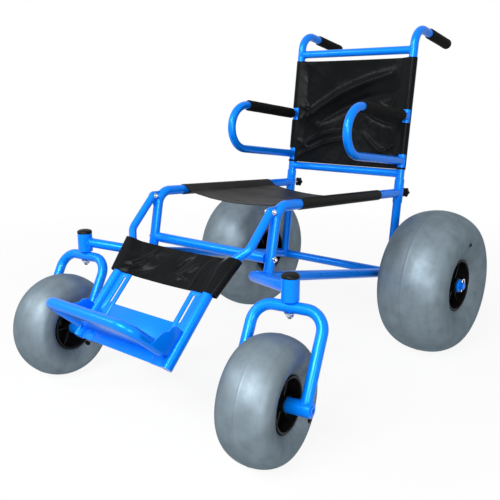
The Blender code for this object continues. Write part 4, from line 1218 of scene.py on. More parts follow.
@dataclass
class Wheel(Assembly):
    """A balloon tyre with its valve on a moulded hub."""

    kind: str = "rear"
    diameter: float = 0.490
    width: float = 0.236
    bead_gap: float = 0.0008
    hub: float = 0.174
    hub_width: float = 0.176
    axle: float = 0.024
    valves: dict[Side, ValveSpot] = field(default_factory=dict)
    fullness: float = 0.97
    seam: float = 0.0005
    seam_width: float = 0.0016
    pucker: float = 0.0006
    puckers: int = 46
    lump: float = 0.0010
    lumps: float = 9.0
    hub_wall: float = 0.007
    hub_web: float = 0.020
    boss_wall: float = 0.012
    rim_reach: float = 0.004
    rib_inset: float = 0.016
    rib_thickness: float = 0.005
    ribs: int = 6
    segments: int = 180

    def section(self, points: int = 34) -> np.ndarray:
        """Half of the tyre's section, from the crown to the bead.

        Args:
            points: Steps from crown to bead.

        Returns:
            Rows of radius, distance from the middle plane and share from crown to bead.
        """
        bead = self.hub / 2 + self.bead_gap
        bead_half = self.hub_width / 2 - GAP
        middle = (self.diameter / 2 + bead) / 2
        half = self.width / 2
        last = math.pi - math.asin(bead_half / half)
        inner = (middle - bead) / abs(math.cos(last))
        at_seam = [0.0, 0.006, 0.014, 0.026]
        shares = np.concatenate([at_seam, np.linspace(0.045, 1.0, points)])
        angles = shares * last
        cosine = np.cos(angles)
        rise = np.where(
            cosine > 0, (self.diameter / 2 - middle) * np.abs(cosine) ** self.fullness, inner * cosine)
        return np.stack([middle + rise, half * np.sin(angles) ** self.fullness, shares], axis=1)

    def tyre(self, side: Side) -> bpy.types.Mesh:
        """The tyre with its mould seam, soft lumps and puckers at the bead.

        Args:
            side: The side of the chair.

        Returns:
            The tyre's mesh, with attributes for its finish.
        """
        half = self.section()
        other = half[:0:-1] * np.array([1.0, -1.0, 1.0])
        ring = np.concatenate([half, other])
        angles = np.linspace(0.0, 2 * math.pi, self.segments, endpoint=False)
        radius, out, share = (ring[:, k][None, :] for k in range(3))
        turn = angles[:, None]
        ridge = self.seam * np.exp(-((out / self.seam_width) ** 2)) - self.seam
        # The puckers grow towards the bead and die out at it; their pitch and depth drift.
        gather = np.clip((share - 0.62) / 0.3, 0.0, 1.0) * np.clip((1.0 - share) / 0.06, 0.0, 1.0)
        wave = np.sin(turn * self.puckers + 2.0 * np.sin(turn * 3.0)) * (1.0 + 0.6 * np.sin(turn * 5.0 + 1.0))
        radius = radius + ridge + gather * wave * self.pucker
        points = np.stack(
            [radius * np.cos(turn), radius * np.sin(turn), np.broadcast_to(out, radius.shape)], axis=-1)
        flat = points.reshape(-1, 3)
        # Lumps only take away, so the tyre stays within its size.
        shift = Vector((side.sign * 3.0, 0, 0))
        uneven = np.array([noise.noise(Vector(p) * self.lumps + shift) for p in flat])
        outward = flat * np.array([1.0, 1.0, 0.0])
        outward /= np.linalg.norm(outward, axis=1, keepdims=True)
        flat -= outward * ((uneven + 0.6).clip(0.0) * self.lump)[:, None]
        made = grid_mesh("tyre", flat.reshape(points.shape), round_rows=True)
        rows = (self.segments, 1)
        # The depth layer carries the painted shade that darkens the tyre towards the bead.
        layers = {"across": out / self.width + 0.5, "depth": np.clip(share * 2 - 1, 0, 1) ** 2}
        for label, values in layers.items():
            layer = made.attributes.new(label, "FLOAT", "POINT")
            layer.data.foreach_set("value", np.tile(values, rows).astype(np.float32).ravel())
        made.transform(self.stand(side))
        return gathered([made])

    def stand(self, side: Side) -> Matrix:
        """The wheel's frame: local Z points outwards along its axle."""
        name = side.node(f"{self.kind}_wheel_spin")
        return facing(joint_place(name), joint_axis(name) * side.sign)

    def build(self) -> None:
        """Tyres, valves and hubs of both sides."""
        for side in Side:
            body = side.node(f"{self.kind}_wheel")
            stand = self.stand(side)
            self.add(f"{self.kind}_balloon_{side.word}", self.tyre(side), SKIN, body,
                     [side.node(f"{self.kind}_tyre")], crease=60.0)
            self.add(f"{self.kind}_valve_{side.word}", self.valve(side, stand), PLASTIC, body)
            self.add(f"{self.kind}_wheel_hub_{side.word}", self.hub_mesh(stand), PLASTIC, body,
                     [side.node(f"{self.kind}_hub")])

    def valve(self, side: Side, stand: Matrix) -> bpy.types.Mesh:
        """The valve: a rubber collar with a capped stem, sunk in the side wall.

        Args:
            side: The side of the chair.
            stand: The wheel's frame.

        Returns:
            The valve's mesh.
        """
        spot = self.valves[side]
        half = self.section(120)
        at = int(np.argmin(np.abs(half[:, 2] - spot.reach)))
        radius, out = half[at, :2]
        run = half[at + 1, :2] - half[at - 1, :2]
        across = Vector((math.cos(spot.angle), math.sin(spot.angle), 0.0))
        place = across * radius + Vector((0, 0, spot.face * out))
        ahead = (across * run[1] - Vector((0, 0, spot.face * run[0]))).normalized()
        stem = [
            (0.0, 0.0048), (0.0034, 0.0046), (0.0040, 0.0036), (0.0040, 0.0012), (0.0074, 0.0012),
            (0.0086, 0.0004), (0.0088, -0.006), (0.0, -0.006)]
        return turned(stem, stand @ facing(place, ahead), 24)

    def hub_mesh(self, stand: Matrix) -> bpy.types.Mesh:
        """The moulded hub: boss, web, barrel with a rolled rim, and ribs.

        Args:
            stand: The wheel's frame.

        Returns:
            The hub's mesh.
        """
        bore = self.axle / 2 + PLAY
        boss = bore + self.boss_wall
        barrel = self.hub / 2
        inner = barrel - self.hub_wall
        half = self.hub_width / 2
        top = half + self.rim_reach
        web = self.hub_web / 2
        roll = self.hub_wall / 2
        rim = arc((inner + roll, top - roll), roll, math.pi, 0.0, 8)
        face = [
            (bore, half - EASE), (bore + EASE, half), (boss - EASE, half), (boss, half - EASE),
            (boss + 0.001, web + 0.004), (boss + 0.005, web), (inner - 0.008, web),
            (inner - 0.003, web + 0.004), *rim]
        profile = face + [(r, -z) for r, z in reversed(face)]
        height = half - self.rib_inset - web
        sizes = {
            "Count": self.ribs, "Reach": (boss + inner) / 2, "Length": inner - boss + 0.002,
            "Thickness": self.rib_thickness, "Height": height}
        shells = [turned(profile, stand, 72)]
        for face_sign in (1, -1):
            start = line_mesh("rib_start", [])
            ribs = RIBS.run(start, PLASTIC, {**sizes, "Level": face_sign * (web + height / 2)})
            ribs.transform(stand)
            shells.append(ribs)
        return gathered(shells)


@dataclass
class Caster(Assembly):
    """The bent fork of one front wheel with its kingpin and axle."""

    trail: float = 0.109
    spacing: float = 0.194
    tube_radius: float = 0.015
    bend_radius: float = 0.052
    crown_height: float = 0.3624
    axle_height: float = 0.161
    boss_radius: float = 0.019
    boss_inner: float = 0.0496
    boss_overhang: float = 0.003
    kingpin_radius: float = 0.008
    kingpin_ends: Flat = (-0.01, 0.052)
    kingpin_lift: float = 0.004
    nut_radius: float = 0.0115
    shaft_radius: float = 0.006

    def build(self) -> None:
        """Fork, bosses, kingpin nut and axle bolts of both casters."""
        for side in Side:
            turn = joint_axis(side.node("front_wheel_spin"))
            stand = Guide(
                Matrix.Translation(joint_place(side.node("caster_swivel")))
                @ Matrix.Rotation(math.atan2(turn.y, turn.x), 4, "Z"))
            body = side.node("caster")
            half = self.spacing / 2
            corners = [
                (-half, -self.trail, self.axle_height), (-half, 0.0, self.crown_height),
                (half, 0.0, self.crown_height), (half, -self.trail, self.axle_height)]
            path = [stand.at(*p) for p in rounded(corners, self.bend_radius, 18)]
            shells = [tube("fork", path, self.tube_radius)]
            outer = half + self.tube_radius + self.boss_overhang
            axle = stand.at(0.0, -self.trail, self.axle_height)
            leg = stand.toward(0.0, -self.trail, self.axle_height - self.crown_height)
            ring = [
                (self.shaft_radius + GAP, self.boss_inner), (self.boss_radius - EASE, self.boss_inner),
                (self.boss_radius, self.boss_inner + EASE), (self.boss_radius, outer - EASE),
                (self.boss_radius - EASE, outer), (self.shaft_radius + GAP, outer)]
            for sign in (1, -1):
                shells.append(turned(ring, facing(axle, stand.toward(sign, 0, 0))))
                start = stand.at(sign * half, -self.trail * 0.5, (self.axle_height + self.crown_height) / 2)
                self.weld(body, saddle(
                    start, leg, self.tube_radius, (axle, stand.toward(1, 0, 0), self.boss_radius)))
            self.add(f"caster_fork_{side.word}", gathered(shells), PAINT, body, [side.node("fork")])
            low = stand.at(0.0, 0.0, self.crown_height - self.tube_radius)
            self.bolts(f"kingpin_nut_{side.word}", [(low, Vector((0, 0, -1)))], self.nut_radius, body,
                       [side.node("kingpin")])
            foot, head = self.kingpin_ends
            pin = [(0.0, foot), (self.kingpin_radius, foot), (self.kingpin_radius, head), (0.0, head)]
            seat = stand.at(0.0, 0.0, self.crown_height + self.kingpin_lift)
            self.add(f"kingpin_shank_{side.word}", turned(pin, Matrix.Translation(seat)), STEEL, body)
            ends = [
                (stand.at(sign * (outer + GAP), -self.trail, self.axle_height), stand.toward(sign, 0, 0))
                for sign in (1, -1)]
            tips = [turned(self.axle_tip(), facing(*end), 32) for end in ends]
            self.add(f"front_axle_tips_{side.word}", gathered(tips), PAINT, body, [side.node("front_axle")])

    def axle_tip(self) -> list[Flat]:
        """Section of an axle's end: a raised ring round a socket.

        Returns:
            Points as radius and height.
        """
        wide = self.boss_radius * 0.62
        socket = self.boss_radius * 0.30
        return [
            (0.0, -0.003), (socket, -0.003), (socket, 0.0015), (socket + 0.001, 0.0022),
            (wide - 0.001, 0.0022), (wide, 0.0012), (wide, -0.006), (0.0, -0.006)]


@dataclass
class Backrest(Assembly):
    """Back tubes with push handles, crossbars, armrests, pads and grips."""

    spacing: float = 0.474
    tube_radius: float = 0.0145
    arm_radius: float = 0.014
    foot: float = 0.3383
    plug: tuple[float, float] = (0.263, 0.012)
    lower_bar: float = 0.356
    top_bar: float = 0.783
    handle: float = 0.863
    handle_bend: float = 0.058
    handle_drop: float = math.radians(3.4)
    handle_length: float = 0.255
    grip_length: float = 0.155
    grip_overhang: float = 0.0053
    grip_radius: float = 0.0185
    grip_end: float = 0.005
    foam_wear: float = 0.0004
    arm_low: float = 0.401
    arm_high: float = 0.556
    arm_reach: float = 0.380
    pad_length: float = 0.268
    pad_radius: float = 0.019

    def build(self) -> None:
        """Tubes, bars, arms and foam of the removable back."""
        half = self.spacing / 2
        bars = (
            ("back_bar_low", "lower_crossbar", self.lower_bar),
            ("back_bar_top", "top_crossbar", self.top_bar))
        for name, node, level in bars:
            ends = [BACK.at(-half, 0.0, level), BACK.at(half, 0.0, level)]
            self.add(name, tube("bar", ends, self.arm_radius), PAINT, "backrest", [node])
            for side in Side:
                axis = (BACK.at(side.sign * half, 0, 0), BACK.toward(0, 0, 1), self.tube_radius)
                self.weld("backrest", saddle(
                    BACK.at(0, 0, level), Vector((side.sign, 0, 0)), self.arm_radius, axis))
        for side in Side:
            self.build_side(side, side.sign * half)

    def build_side(self, side: Side, x: float) -> None:
        """One back tube with its arm, grip and pad.

        Args:
            side: The side of the chair.
            x: The tube's distance from the chair's middle.
        """
        level = math.cos(self.handle_drop)
        drop = math.sin(self.handle_drop)
        end = (x, self.handle_length * level, self.handle - self.handle_length * drop)
        bent = rounded([(x, 0.0, self.foot), (x, 0.0, self.handle), end], self.handle_bend, 20)
        low, thin = self.plug
        shells = [
            tube("back", [BACK.at(*p) for p in bent], self.tube_radius),
            tube("plug", [BACK.at(x, 0, low), BACK.at(x, 0, self.foot)], thin)]
        self.add(f"back_upright_{side.word}", gathered(shells), PAINT, "backrest", [side.node("back_tube")])
        grip = BACK.matrix @ facing(Vector(end), Vector((0, level, -drop)))
        over = self.grip_overhang
        foam = self.foam_sleeve(grip, over - self.grip_length, over, self.tube_radius, self.grip_radius, True)
        self.add(f"handle_grip_{side.word}", foam, FOAM, "backrest", [side.node("push_grip")])
        bend = (self.arm_high - self.arm_low) / 2
        front = bend - self.arm_reach
        turn = arc((front, self.arm_low + bend), bend, math.pi / 2, math.pi * 1.5, 36)
        path = [(x, 0.0, self.arm_high), *[(x, y, z) for y, z in turn], (x, 0.0, self.arm_low)]
        self.add(f"arm_loop_{side.word}", tube("arm", [BACK.at(*p) for p in path], self.arm_radius),
                 PAINT, "backrest", [side.node("armrest")])
        pad = BACK.matrix @ facing(Vector((x, front, self.arm_high)), Vector((0, 1, 0)))
        foam = self.foam_sleeve(pad, 0.0, self.pad_length, self.arm_radius, self.pad_radius, False)
        self.add(f"arm_foam_{side.word}", foam, FOAM, "backrest", [side.node("arm_pad")])
        axis = (BACK.at(x, 0, 0), BACK.toward(0, 0, 1), self.tube_radius)
        for height in (self.arm_low, self.arm_high):
            self.weld("backrest", saddle(
                BACK.at(x, front / 2, height), BACK.toward(0, 1, 0), self.arm_radius, axis))

    def foam_sleeve(
        self, stand: Matrix, start: float, stop: float, bore: float, radius: float, ended: bool
    ) -> bpy.types.Mesh:
        """A foam sleeve with soft ends and a hand-worn, slightly uneven wall.

        Args:
            stand: Its frame, local Z along the tube.
            start: Where it starts along the tube.
            stop: Where it stops.
            bore: Radius of the tube inside.
            radius: Its own radius.
            ended: Whether its far end is closed.

        Returns:
            The sleeve's mesh.
        """
        soft = (radius - bore) * 0.75
        near = arc((radius - soft, start + soft), soft, -math.pi / 2, 0.0, 6)
        far = arc((radius - soft, stop - soft), soft, 0.0, math.pi / 2, 6)
        steps = 26
        wall = []
        for k in range(1, steps):
            along = near[-1][1] + (far[0][1] - near[-1][1]) * k / steps
            wave = noise.noise(Vector((along * 40.0, radius * 90.0, 0.3)))
            wall.append((radius + self.foam_wear * wave, along))
        inside = bore + GAP
        opening = [(inside, start)]
        closing = [(inside, stop)]
        if ended:
            floor = stop - self.grip_end
            opening = [(0.0, floor), (inside, floor), (inside, start)]
            closing = [(0.0, stop)]
        return turned([*opening, *near, *wall, *far, *closing], stand, 40)

    def dress(self) -> None:
        super().dress()


@dataclass
class ClampKnobs(Assembly):
    """Star knobs whose studs clamp the back in its sockets."""

    radius: float = 0.018
    thickness: float = 0.015
    lobes: int = 6
    standoff: float = 0.043
    tip: float = 0.0126
    stud_radius: float = 0.004

    def build(self) -> None:
        """A lobed knob on its plated stud for each side."""
        full = self.radius
        deep = self.thickness
        stations = [
            (0.0, 0.30, 0.0), (0.0, 0.45, 0.0), (0.28, 0.50, 0.0), (0.32, 0.80, 0.07), (0.38, 0.88, 0.10),
            (0.50, 0.91, 0.11), (0.72, 0.91, 0.11), (0.86, 0.86, 0.10), (0.95, 0.74, 0.07),
            (1.0, 0.52, 0.02), (0.97, 0.40, 0.0), (0.97, 0.001, 0.0)]
        count = self.lobes * 12
        for side in Side:
            name = side.node("knob_turn")
            stand = facing(joint_place(name), joint_axis(name))
            shape = bmesh.new()
            rings = []
            for share, size, lobe in stations:
                ring = []
                for k in range(count):
                    angle = 2 * math.pi * k / count
                    reach = full * size * (1.0 + lobe * math.cos(self.lobes * angle))
                    height = self.standoff + share * deep
                    ring.append(shape.verts.new((reach * math.cos(angle), reach * math.sin(angle), height)))
                rings.append(ring)
            for first, second in zip(rings, rings[1:]):
                for k in range(count):
                    after = (k + 1) % count
                    shape.faces.new((first[k], first[after], second[after], second[k]))
            shape.faces.new(rings[0])
            shape.faces.new(rings[-1])
            body = side.node("knob")
            self.add(f"star_knob_{side.word}", settled(shape, stand), PLASTIC, body,
                     [side.node("clamp_knob")])
            stud = [
                (0.0, self.tip), (self.stud_radius, self.tip), (self.stud_radius, self.standoff),
                (0.0, self.standoff)]
            self.add(f"knob_stud_{side.word}", turned(stud, stand, 24), STEEL, body)


@dataclass
class LegRest(Assembly):
    """Hinged hangers and their bolts."""

    spacing: float = 0.474
    tube_radius: float = 0.012
    joggle: tuple[float, float, float] = (0.128, 0.195, 0.040)
    foot_spacing: float = 0.364
    end: float = 0.436
    neck: float = 0.002
    nut_radius: float = 0.0060

    def path(self, sign: int) -> list[Vector]:
        """Centre line of a hanger in the leg rest's own frame.

        Args:
            sign: +1 for the left side, -1 for the right.

        Returns:
            The line's points, from the hinge down.
        """
        start, stop, bend = self.joggle
        x = sign * self.spacing / 2
        foot = sign * self.foot_spacing / 2
        corners = [(x, 0.0, 0.0), (x, -start, 0.0), (foot, -stop, 0.0), (foot, -self.end, 0.0)]
        return rounded(corners, bend, 12)

    def centre(self, along: float) -> float:
        """A hanger's distance from the chair's middle at a length along it."""
        line = self.path(1)
        return float(np.interp(along, [-p.y for p in line], [p.x for p in line]))

    def build(self) -> None:
        """Hangers with rounded top ends and domed hinge bolts."""
        places = []
        for side in Side:
            line = [LEGS.at(*p) for p in self.path(side.sign)]
            end = arc((0.0, 0.0), self.tube_radius, math.pi / 2, 0.0, 8)
            ball = turned([*end, (self.tube_radius, -self.neck), (0.0, -self.neck)],
                          facing(line[0], LEGS.toward(0.0, 1.0, 0.0)), 36)
            hanger = gathered([tube("hanger", line, self.tube_radius), ball])
            self.add(f"leg_hanger_{side.word}", hanger, PAINT, "leg_rest", [side.node("hanger_tube")])
            for face in (1, -1):
                out = side.sign * self.spacing / 2 + face * self.tube_radius
                places.append((LEGS.at(out, 0.0, 0.0), Vector((face, 0, 0))))
        self.bolts("hinge_nuts", places, self.nut_radius, "leg_rest", ["hinge_bolt_L", "hinge_bolt_R"])


@dataclass
class Footplate(Assembly):
    """Slotted sleeves that slide on the hangers and the welded tray between them."""

    start: float = 0.279
    end: float = 0.499
    sleeve_radius: float = 0.0155
    foot_spacing: float = 0.364
    plate_width: float = 0.060
    plate_thickness: float = 0.005
    slot_width: float = 0.009
    slot_length: float = 0.086
    slot_inset: float = 0.0145
    slot_start: float = 0.010
    strip: float = 0.031
    tilt: float = math.radians(3.6)
    heel: float = 0.122
    heel_lift: float = 0.001
    depth: float = 0.170
    sheet: float = 0.004
    rim_radius: float = 0.015
    rim_lift: float = 0.0035
    rim_inset: float = 0.0135
    rim_bend: float = 0.045
    rim_return: float = 0.035
    cheek_height: float = 0.101
    cheek_corner: float = 0.022
    cheek_depths: tuple[float, float, float] = (0.060, 0.076, 0.092)
    cheek_bite: float = 0.002

    def build(self) -> None:
        """Sleeves, slotted plates, tray, gussets and rolled lip."""
        foot = self.foot_spacing / 2
        inner = foot - self.plate_width
        for side in Side:
            x = side.sign * foot
            ends = [LEGS.at(x, -self.start, 0.0), LEGS.at(x, -self.end, 0.0)]
            shells = [tube("sleeve", ends, self.sleeve_radius), self.slot_plate(side.sign, inner, foot)]
            self.add(f"foot_sleeve_{side.word}", gathered(shells), PAINT, "footplate",
                     [side.node("hanger_sleeve")])
        self.add("foot_tray", gathered(self.tray(foot - self.rim_inset, inner - GAP)),
                 PAINT, "footplate", ["footplate_tray"])

    def slot_plate(self, sign: int, inner: float, foot: float) -> bpy.types.Mesh:
        """The plate along a sleeve with its adjusting slot.

        Args:
            sign: +1 for the left side, -1 for the right.
            inner: Its inner edge.
            foot: The sleeve's centre line.

        Returns:
            The plate's mesh.
        """
        outline = [
            (sign * inner, -self.start), (sign * foot, -self.start), (sign * foot, -self.end),
            (sign * inner, -self.end)]
        middle = sign * (inner + self.slot_inset + self.slot_width / 2)
        half = self.slot_width / 2
        high = -self.start - self.slot_start - half
        low = -self.start - self.slot_start - self.slot_length + half
        slot = [
            *arc((middle, high), half, 0.0, math.pi, 8),
            *arc((middle, low), half, math.pi, 2 * math.pi, 8)]
        return plate(outline, self.plate_thickness, LEGS.matrix, [slot])

    def tray(self, width: float, heel_width: float) -> list[bpy.types.Mesh]:
        """Heel plate, the footplate welded across it, gussets and lip.

        Args:
            width: Half the lip's width.
            heel_width: Half the heel plate's width.

        Returns:
            The meshes of the welded tray.
        """
        half = self.sheet / 2
        low = self.heel_lift - self.end
        rise = self.plate_thickness / 2 + GAP

        def on_plate(out: float, lift: float) -> Flat:
            """A point that lies out along the sloping plate and is lifted off it."""
            return self.strip - self.end - out * math.tan(self.tilt) + lift, out

        stand = LEGS.matrix @ Matrix(((0, 0, 1, 0), (1, 0, 0, 0), (0, 1, 0, 0), (0, 0, 0, 1)))
        top = self.heel - self.end
        heel = [(top, -half), (low, -half), (low, half), (top, half)]
        bend = self.rim_bend
        front = self.depth - bend
        wide = [
            (-width, rise), (width, rise), *arc((width - bend, front), bend, 0.0, math.pi / 2, 12),
            *arc((bend - width, front), bend, math.pi / 2, math.pi, 12)]
        slope = Matrix.Rotation(math.pi / 2 + self.tilt, 4, "X")
        level = LEGS.matrix @ Matrix.Translation((0.0, self.strip - self.end, 0.0)) @ slope
        shells = [plate(heel, heel_width * 2, stand), plate(wide, self.sheet, level)]
        inner_rim = on_plate(self.rim_return, self.rim_lift)
        outer_rim = on_plate(self.depth, self.rim_lift)
        corners = [(-width, *inner_rim), (-width, *outer_rim), (width, *outer_rim), (width, *inner_rim)]
        lip = [LEGS.at(*p) for p in rounded(corners, bend, 18)]
        shells.append(tube("lip", lip, self.rim_radius))
        upper, middle, lower = self.cheek_depths
        peak = self.cheek_height - self.end
        start = self.sleeve_radius - self.cheek_bite
        corner = self.cheek_corner
        outline = [
            on_plate(start, -half), (peak, start),
            *arc((peak - corner, upper - corner), corner, 0.0, math.pi / 2, 12),
            ((peak + self.strip - self.end) / 2, middle), on_plate(lower, -half)]
        for sign in (1, -1):
            beside = Matrix.Translation((0.0, 0.0, sign * (width + self.rim_radius)))
            shells.append(plate(outline, self.sheet, stand @ beside))
        return shells


@dataclass(frozen=True)
class Fold:
    """A pulled crease in a sling, in shares of its width and length."""

    start: Flat
    end: Flat
    width: float
    height: float

    def lift(self, across: np.ndarray, along: np.ndarray, size: Flat) -> np.ndarray:
        """Height of the crease at points of the sling.

        Args:
            across: Shares from -1 to 1 across the sling.
            along: Shares from 0 to 1 along it.
            size: Half its width and its length, in metres.

        Returns:
            The heights in metres.
        """
        scale = np.array(size)
        first = np.array(self.start) * scale
        run = np.array(self.end) * scale - first
        gap = np.stack([across * scale[0] - first[0], along * scale[1] - first[1]], axis=-1)
        share = np.clip(gap @ run / (run @ run), 0.0, 1.0)
        bow = 0.06 * np.linalg.norm(run) * np.sin(math.pi * share)
        normal = np.array([-run[1], run[0]]) / np.linalg.norm(run)
        away = np.linalg.norm(gap - share[..., None] * run - bow[..., None] * normal, axis=-1)
        fade = np.sin(math.pi * (0.12 + 0.82 * share)) ** 0.8
        return self.height * fade / (1.0 + (away / self.width) ** 2) ** 2


@dataclass
class Sling(Assembly):
    """A coated cloth stretched between two tubes, sewn into a sleeve round each."""

    name: str = "seat"
    node: str = "seat_sling"
    body: str = "frame"
    rests_on: tuple[str, ...] = ()
    fabric: CoatedCloth = CLOTH
    bore: float = 0.015
    length: float = 0.45
    sag: float = 0.030
    edge_sag: float = 0.75
    seam: float = 0.040
    thickness: float = 0.0016
    ripple: float = 0.0007
    folds: tuple[Fold, ...] = ()
    notches: tuple[Flat, ...] = ()
    span: Callable[[float], Flat] = lambda v: (0.237, 0.0)
    place: Callable[[float, float, float], Vector] = lambda v, a, o: Vector((a, o, v))
    rows: int = 90
    web: int = 110
    ply: int = 9
    hem: float = 0.010
    stitch_lift: float = 0.0002
    width: float = field(default=0.0, init=False)

    def loop(self, centre: float, stretch: float, level: float) -> list[Flat]:
        """The sleeve round the tube on the left, from its lower seam to its upper one.

        Args:
            centre: The tube's distance from the sling's middle.
            stretch: How far the sleeve is drawn out past the tube.
            level: Where the web lies at the seam.

        Returns:
            Points as distance across and out of the plane.
        """
        radius = self.bore + PLAY + self.thickness / 2
        seam = (centre - self.seam, level)
        aside = math.hypot(self.seam, level)
        lean = math.atan2(level, -self.seam)
        lean = lean if lean > 0 else lean + 2 * math.pi
        open_angle = math.acos(min(0.999, radius / aside))
        low = lean + open_angle
        high = lean - open_angle
        outer = (centre + stretch, 0.0)
        under = arc((centre, 0.0), radius, low, 1.5 * math.pi, 6)
        round_it = arc(outer, radius, 1.5 * math.pi, 2.5 * math.pi, 22)
        over = arc((centre, 0.0), radius, 0.5 * math.pi, high, 6)
        lower_seam = (seam[0], seam[1] - self.thickness * 1.15)
        tail = straight(lower_seam, under[0], self.ply)[:-1]
        lap = straight(over[-1], seam, self.ply)[1:-1]
        return [*tail, *under, *round_it, *over, *lap]

    def slack(self, u: np.ndarray, v: np.ndarray) -> np.ndarray:
        """How far the web hangs out of the plane of its tubes."""
        return -self.sag * (1 - u * u) * (self.edge_sag + (1 - self.edge_sag) * np.sin(math.pi * v))

    def stops(self) -> np.ndarray:
        """Stations along the tubes, with the edges of the notches among them.

        Returns:
            Shares from 0 to 1, in order.
        """
        # An even station too close to a notch's edge gives way to it.
        edges = [e for notch in self.notches for e in notch]
        even = np.linspace(0.0, 1.0, self.rows)
        kept = [s for s in even if all(abs(s - e) > 0.35 / self.rows for e in edges)]
        return np.array(sorted([*kept, *edges]))

    def build(self) -> None:
        """The cloth with its sleeves, creases, notches and stitches."""
        stations = self.stops()
        rows = []
        shares = []
        tight = []
        for v in stations:
            centre, stretch = self.span(v)
            edge = centre - self.bore
            at_seam = centre - self.seam
            level = float(self.slack(np.array(at_seam / edge), np.array(v)))
            left = self.loop(centre, stretch, level)
            across = np.linspace(at_seam, -at_seam, self.web)
            middle = [(a, float(self.slack(np.array(a / edge), np.array(v)))) for a in across]
            right = [(-a, o) for a, o in reversed(left)]
            rows.append([*left, *middle, *right])
            shares.append([a / edge for a, _ in rows[-1]])
            fade = [k / self.ply for k in range(1, self.ply)]
            fade = [0.0] * (len(left) - len(fade)) + fade
            tight.append([*fade, *[1.0] * self.web, *reversed(fade)])
        flat = np.array(rows)
        u = np.array(shares)
        v = np.repeat(stations[:, None], u.shape[1], axis=1)
        size = (self.span(0.5)[0], self.length)
        lift = sum((f.lift(u, v, size) for f in self.folds), np.zeros_like(u))
        spots = np.stack([u * size[0], v * size[1], np.zeros_like(u)], axis=-1).reshape(-1, 3)
        small = [noise.noise(Vector(p) * 22.0) + 0.5 * noise.noise(Vector(p) * 60.0) for p in spots]
        lift = lift + self.ripple * np.array(small).reshape(u.shape)
        flat[..., 1] += lift * np.array(tight)
        points = np.array([
            [self.place(s, *p) for p in row] for s, row in zip(stations, flat)])
        self.cloth(points, stations, flat)
        self.sew(points, len(rows[0]))

    def cloth(self, points: np.ndarray, stations: np.ndarray, flat: np.ndarray) -> None:
        """Cut the notches, thicken the cloth and make it a piece.

        Args:
            points: The cloth's points as rows and columns.
            stations: The share along the tubes of each row.
            flat: The same points across and out of the plane.
        """
        mesh = grid_mesh(self.name, points)
        shape = bmesh.new()
        shape.from_mesh(mesh)
        shape.verts.ensure_lookup_table()
        columns = points.shape[1]
        centre = self.span(0.5)[0]
        # A notch takes the half of the sleeve that faces the sitter.
        doomed = []
        for face in shape.faces:
            index = [v.index for v in face.verts]
            along = np.mean([stations[i // columns] for i in index])
            across, out = np.mean([flat[i // columns, i % columns] for i in index], axis=0)
            if abs(across) > centre - self.bore * 1.08 and out > -0.001:
                if any(low < along < high for low, high in self.notches):
                    doomed.append(face)
        bmesh.ops.delete(shape, geom=doomed, context="FACES")
        shape.to_mesh(mesh)
        shape.free()
        item = bpy.data.objects.new(self.name, mesh)
        bpy.context.scene.collection.objects.link(item)
        wall = item.modifiers.new("thickness", "SOLIDIFY")
        wall.thickness = self.thickness
        wall.offset = 0.0
        graph = bpy.context.evaluated_depsgraph_get()
        thick = bpy.data.meshes.new_from_object(item.evaluated_get(graph), depsgraph=graph)
        bpy.data.objects.remove(item)
        self.width = float(np.linalg.norm(np.diff(points[len(points) // 2], axis=0), axis=1).sum())
        self.add(f"{self.name}_cloth", thick, self.fabric, self.body, [self.node], crease=70.0)

    def sew(self, points: np.ndarray, columns: int) -> None:
        """Stitches along the sleeve seams and the hems.

        Args:
            points: The cloth's points as rows and columns.
            columns: Points in a row.
        """
        grid = points.reshape(len(points), columns, 3)
        seam = (columns - self.web) // 2
        lift = self.thickness / 2 + self.stitch_lift
        steps = np.gradient(grid, axis=1)
        runs = np.gradient(grid, axis=0)
        normal = np.cross(steps, runs)
        normal /= np.linalg.norm(normal, axis=-1, keepdims=True)
        out = Vector(self.place(0.5, 0.0, 1.0)) - Vector(self.place(0.5, 0.0, 0.0))
        normal *= np.sign(normal @ np.array(out))[..., None]
        raised = grid + normal * lift
        inset = max(2, round(self.hem / self.length * len(points)))
        inside = seam + 3
        lines = [
            raised[inset:-inset, inside], raised[inset:-inset, columns - 1 - inside],
            raised[inset, seam:columns - seam], raised[-1 - inset, seam:columns - seam]]
        thread = line_mesh("stitch_lines", [[Vector(p) for p in line] for line in lines])
        self.add(f"{self.name}_stitches", STITCHES.run(thread, THREAD, {}), THREAD, self.body)

    def dress(self) -> None:
        super().dress()


def seat_sling(chassis: Chassis) -> Sling:
    """The seat, on the two side rails.

    Args:
        chassis: The frame that carries it.

    Returns:
        The sling, not yet built.
    """
    front = 0.565
    rear = 0.115
    ahead, level = chassis.corner()
    slope = chassis.seat_slope
    rise = Vector((0.0, math.sin(slope), math.cos(slope)))

    def on_rails(v: float, across: float, out: float) -> Vector:
        """A point of the seat in the chair's frame."""
        y = -(front + (rear - front) * v)
        return CHAIR.at(across, y, level - (y - ahead) * math.tan(slope)) + rise * out

    folds = (
        Fold((-0.85, 0.95), (0.1, 0.35), 0.030, 0.0022),
        Fold((0.85, 0.95), (-0.1, 0.45), 0.030, 0.0020),
        Fold((-0.7, 0.12), (0.6, 0.06), 0.022, -0.0018),
    )
    return Sling(
        name="seat", node="seat_sling", body="frame", rests_on=("side_rail_L", "side_rail_R"),
        fabric=WORN_CLOTH_PAINTED_SHEEN, bore=chassis.tube_radius, length=front - rear, sag=0.030, folds=folds,
        span=lambda v: (chassis.spacing / 2, 0.0), place=on_rails)


